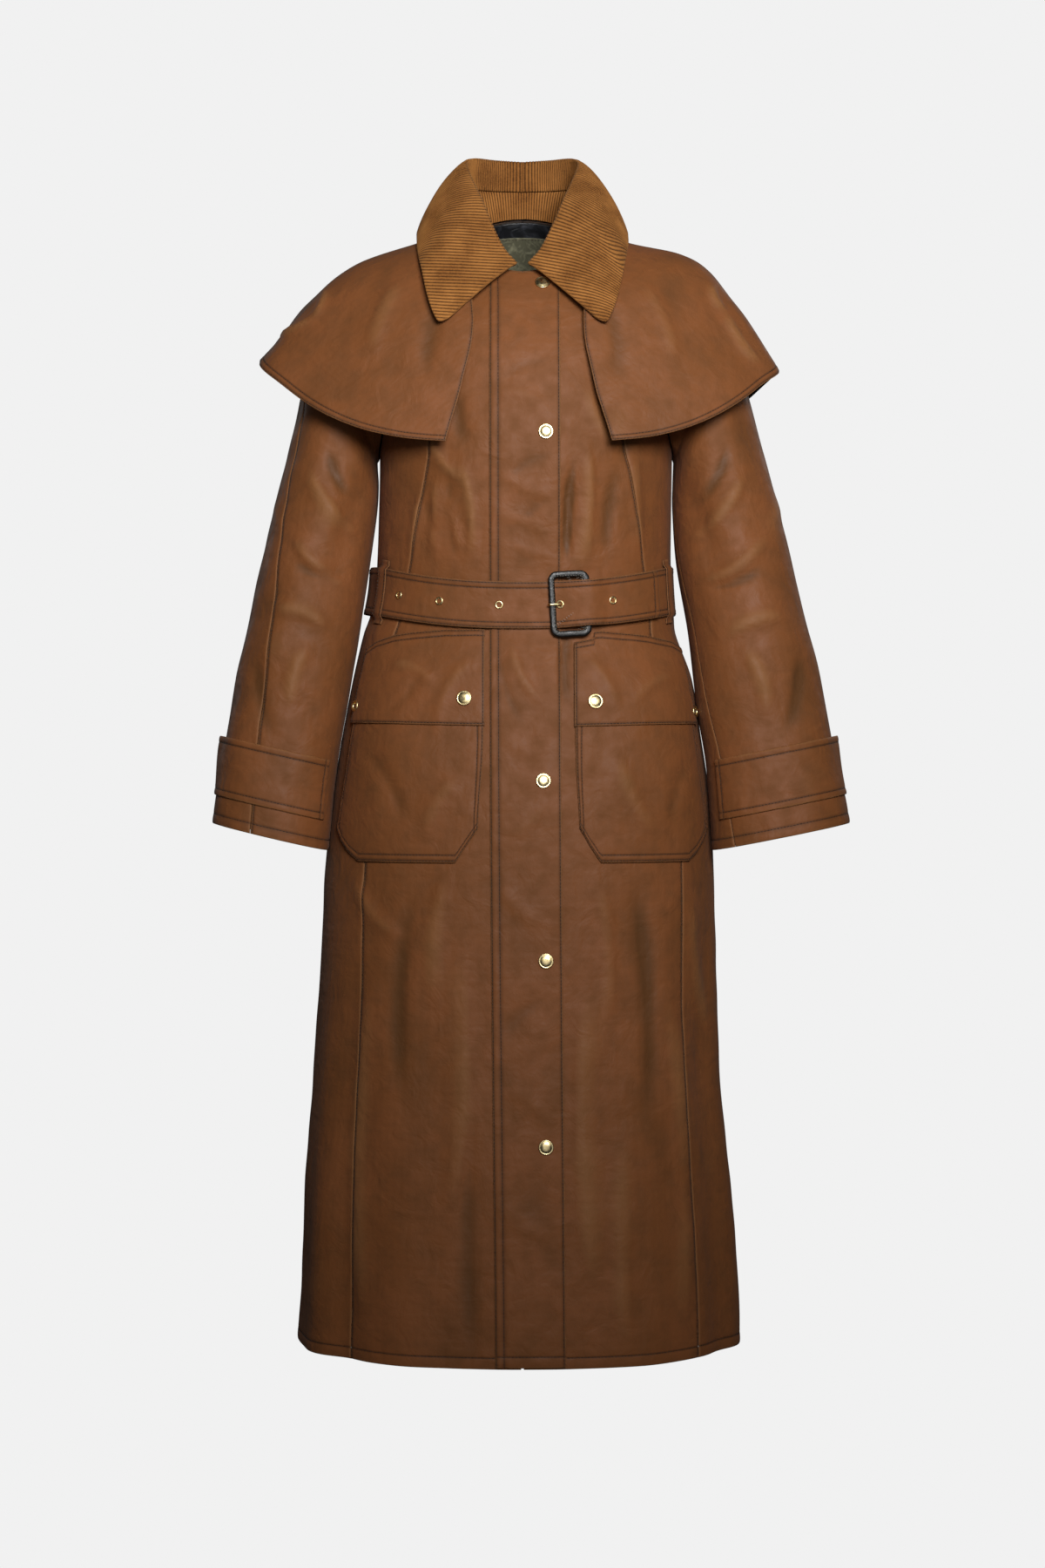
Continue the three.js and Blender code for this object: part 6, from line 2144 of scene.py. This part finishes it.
    def build_prong(self, frame: tuple[Array, Array], wide: float, hole: float) -> None:
        """Makes the round brass prong, wrapped over the left bar and bent into the eyelet."""
        high = BUCKLE_THICK + AIR + 0.75
        line = np.array([
            (-wide / 2 - 0.6, -0.6, 0.9), (-wide / 2 - 1.0, 0, 2.2), (-wide / 2 + 0.4, 0, high - 0.3),
            (-wide / 2 + 3.4, 0, high), (hole - 4.0, 0, high), (hole - 1.2, 0, high - 0.5),
            (hole, 0, high - 2.0), (hole + 0.2, 0, 0.4), (hole + 0.2, 0, -2.6),
        ])
        radii = np.array([1.0, 1.25, 1.3, 1.25, 1.1, 1.05, 1.0, 0.9, 0.6])
        t = np.linspace(0, len(line) - 1, 49)
        smooth = np.stack([np.interp(t, np.arange(len(line)), line[:, i]) for i in range(3)], axis=1)
        for _ in range(3):
            smooth[1:-1] = (smooth[:-2] + 2 * smooth[1:-1] + smooth[2:]) / 4
        radius = np.interp(t, np.arange(len(line)), radii)
        radius[0] = radius[-1] = 0.05
        tangent = unit(np.gradient(smooth, axis=0))
        side = np.array([0.0, 1.0, 0.0])
        up = unit(np.cross(tangent, side))
        angle = np.arange(12) * 2 * math.pi / 12
        rings = (
            smooth[:, None]
            + up[:, None] * (np.cos(angle) * 0.8)[None, :, None] * radius[:, None, None]
            + side * np.sin(angle)[None, :, None] * radius[:, None, None]
        )
        n, m = rings.shape[:2]
        i = np.arange(n - 1)[:, None]
        j = np.arange(m)[None, :]
        after, ahead = (j + 1) % m, (i + 1) * m
        quads = np.stack([i * m + j, ahead + j, ahead + after, i * m + after], axis=-1).reshape(-1, 4)
        points = set_at(rings.reshape(-1, 3), frame)
        made = make_object("buckle_prong", points, [quads], [self.finishes.brass])
        mounted("buckle_prong", made, "brass", "buckle_prong")


@dataclass
class Studio:
    """A plain pale floor that curves up all round, soft lights and the camera of the photograph."""

    grey: str = "#f1f1f1"
    camera_distance: float = 3.0
    camera_height: float = -0.549
    frame_height: float = 1.62
    floor: float = -1.4
    floor_radius: float = 5.0
    bend: float = 1.6
    wall: float = 8.0
    frame_side: float = 36.0

    def build(self) -> None:
        """Makes the floor, the lights and the camera."""
        self.build_surround()
        self.light("key", (0.35, -2.05, 0.3), (0.0, 0.0, 0.0), (0.8, 0.8), 9.4, 1.35)
        self.light("strip", (0.0, -3.1, -0.55), (0.0, 0.0, -0.55), (0.9, 2.6), 5.5, math.pi)
        self.light("behind_left", (1.8, 2.2, 0.9), (0.0, 0.0, -0.4), (1.4, 1.4), 9.0, math.pi)
        self.light("behind_right", (-1.9, 2.0, 0.5), (0.0, 0.0, -0.5), (1.4, 1.4), 4.5, math.pi)
        world = bpy.data.worlds.new("studio")
        world.use_nodes = True
        background = world.node_tree.nodes["Background"]
        background.inputs["Color"].default_value = linear(self.grey)
        background.inputs["Strength"].default_value = 0.08
        world.cycles_visibility.glossy = False
        bpy.context.scene.world = world
        camera = bpy.data.cameras.new("camera")
        camera.sensor_fit = "VERTICAL"
        camera.sensor_height = self.frame_side
        camera.lens = self.frame_side * self.camera_distance / self.frame_height
        holder = bpy.data.objects.new("camera", camera)
        holder.location = (0.0, -self.camera_distance, self.camera_height)
        holder.rotation_euler = (math.pi / 2, 0.0, 0.0)
        bpy.context.scene.collection.objects.link(holder)
        bpy.context.scene.camera = holder
        bpy.context.scene.view_settings.view_transform = "Standard"

    def build_surround(self) -> None:
        """Makes the round floor with its wall and ceiling, an even grey that lights nothing."""
        turn = np.linspace(0, math.pi / 2, 13)
        profile = [(0.001, 0.0), (self.floor_radius, 0.0)]
        for angle in turn[1:]:
            out = self.floor_radius + self.bend * math.sin(angle)
            profile.append((out, self.bend * (1 - math.cos(angle))))
        profile += [(self.floor_radius + self.bend, self.wall), (0.001, self.wall)]
        line = np.array(profile)
        around = np.linspace(0, 2 * math.pi, 65)[None, :]
        reach = line[:, :1]
        points = spots(reach * np.cos(around), reach * np.sin(around), line[:, 1:] + self.floor)
        material, tree, shader, _ = blank("studio_paper")
        fill(tree, shader, {
            "Base Color": (0.0, 0.0, 0.0, 1.0),
            "Roughness": 1.0,
            "Specular IOR Level": 0.0,
            "Emission Color": linear(self.grey),
            "Emission Strength": 1.0,
        })
        faces = [grid_faces(len(line), around.size, False)]
        surround = make_object("floor", points.reshape(-1, 3) / MM, faces, [material])
        surround.visible_diffuse = False
        surround.visible_glossy = False
        surround.visible_shadow = False

    @staticmethod
    def light(name: str, place: tuple, target: tuple, size: tuple, power: float, spread: float) -> None:
        """Hangs a soft light that the camera doesn't see.

        Args:
            name: the light's name.
            place: where it hangs.
            target: what it points at.
            size: its width and height in metres.
            power: its watts.
            spread: the angle that its light fills.
        """
        lamp = bpy.data.lights.new(name, "AREA")
        lamp.shape = "RECTANGLE"
        lamp.size, lamp.size_y = size
        lamp.energy = power
        lamp.spread = spread
        holder = bpy.data.objects.new(name, lamp)
        holder.location = place
        away = np.array(place) - np.array(target)
        tilt = math.acos(away[2] / np.linalg.norm(away))
        holder.rotation_euler = (tilt, 0.0, math.atan2(away[0], -away[1]))
        holder.visible_camera = False
        bpy.context.scene.collection.objects.link(holder)


SLEEVE_CREASES = {
    "right": laid(
        (-166, -208, -148, -250, 5.2, 3.8, 4, 0.3), (-196, -214, -156, -270, 6, -3.5, 8),
        (-214, -232, -160, -300, 6.9, 3.8, 8, 0.3), (-232, -300, -176, -352, 6.9, 3.5, 6, -0.3),
        (-226, -330, -178, -336, 5.2, -2.9, 5), (-250, -372, -196, -392, 6.9, 3.2, -6),
        (-214, -410, -232, -470, 6.9, 2.9, 6), (-268, -420, -250, -500, 6.9, -2.6, 5),
        (-262, -200, -244, -290, 6.9, 2.3, 5), (-230, -240, -180, -300, 6.9, 3.5, 6, 0.2, True),
        (-250, -310, -196, -360, 6.9, -3.5, 6, 0, True),
        (-266, -380, -210, -410, 6.9, 3.5, -6, 0.2, True),
        (-240, -430, -262, -520, 6.9, 2.6, 6, 0, True),
    ),
    "left": laid(
        (172, -206, 158, -250, 5.2, 3.8, -4, 0.3), (206, -212, 164, -272, 6, -3.5, -8),
        (224, -236, 168, -306, 6.9, 3.8, -8, 0.3), (244, -300, 182, -346, 6.9, 3.5, -6, -0.3),
        (238, -334, 184, -350, 5.2, -2.9, -5), (262, -380, 206, -400, 6.9, 3.2, 6),
        (222, -412, 244, -480, 6.9, 2.9, -6), (280, -420, 262, -500, 6.9, -2.6, -5),
        (270, -200, 252, -290, 6.9, 2.3, -5), (240, -240, 186, -300, 6.9, 3.5, -6, 0.2, True),
        (262, -310, 204, -360, 6.9, -3.5, -6, 0, True), (278, -380, 220, -410, 6.9, 3.5, 6, 0.2, True),
        (250, -430, 274, -520, 6.9, 2.6, -6, 0, True),
    ),
}
CAPE_CREASES = laid(
    (-199, -45, -212, -78, 4.3, 3.8, -3, 0.3), (-212, -78, -254, -93, 4.3, 3.8, -2, 0.3),
    (192, -42, 205, -70, 4.3, 3.8, 3, 0.3), (205, -70, 242, -126, 5.2, 3.8, 4, 0.3),
    (-120, -40, -150, -120, 8.6, 2.6, 6), (-80, -60, -96, -150, 8.6, -2, 5),
    (120, -44, 152, -128, 8.6, 2.6, -6), (84, -60, 92, -150, 8.6, -2, -5),
    (-110, -30, -150, -150, 10.3, 3.5, 8, 0.2, True), (-40, -20, -60, -150, 10.3, -2.9, 6, 0, True),
    (24, -20, 30, -160, 10.3, 3.2, 5, 0.2, True), (96, -30, 140, -140, 10.3, -3.2, -8, 0, True),
)


def main() -> None:
    """Builds the coat round the frame."""
    logging.basicConfig(level=logging.INFO, format="%(name)s: %(message)s")
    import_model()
    finishes = Finishes()
    threads = Threads()
    studio = Studio()
    studio.build()
    body = BodySkin()
    hardware = Hardware(finishes)
    BodyShell(body, finishes, threads).build()
    skins = {side: SleeveSkin(side, body, SLEEVE_CREASES[side]) for side in SIDES}
    SleevePair(skins, finishes, threads).build()
    ShoulderCape(CapeSkin(CAPE_CREASES), finishes, threads).build()
    CordCollar(CollarSkin(), StandSkin(body), finishes, threads).build()
    Belt(body, finishes, threads, hardware).build()
    for i, (x, z) in enumerate(FLY_STUDS):
        turn, drop = body.place(x, z)
        hardware.stud("fly_stud_%d" % (i + 1), body.frame(turn, drop, AIR + CLOTH + 0.1))
    for side in SIDES:
        pocket = Pocket(side, body, finishes, threads)
        pocket.build()
        turn, drop = body.place(*FLAP_STUDS[side])
        hardware.stud("flap_stud_" + side, body.frame(turn, drop, pocket.over_flap(turn, drop) + 0.1))
        turn, drop = body.place(*VENT_RINGS[side])
        frame = body.frame(turn, drop, pocket.over_flap(turn, drop) + 0.2)
        hardware.ring("vent_ring_" + side, frame, 6.0, 3.0, 1.1)
    for piece in threads.make(finishes.thread):
        mounted(piece.name, piece, "waxed_cotton")
    LOG.info("the coat is built")


if __name__ == "__main__":
    main()
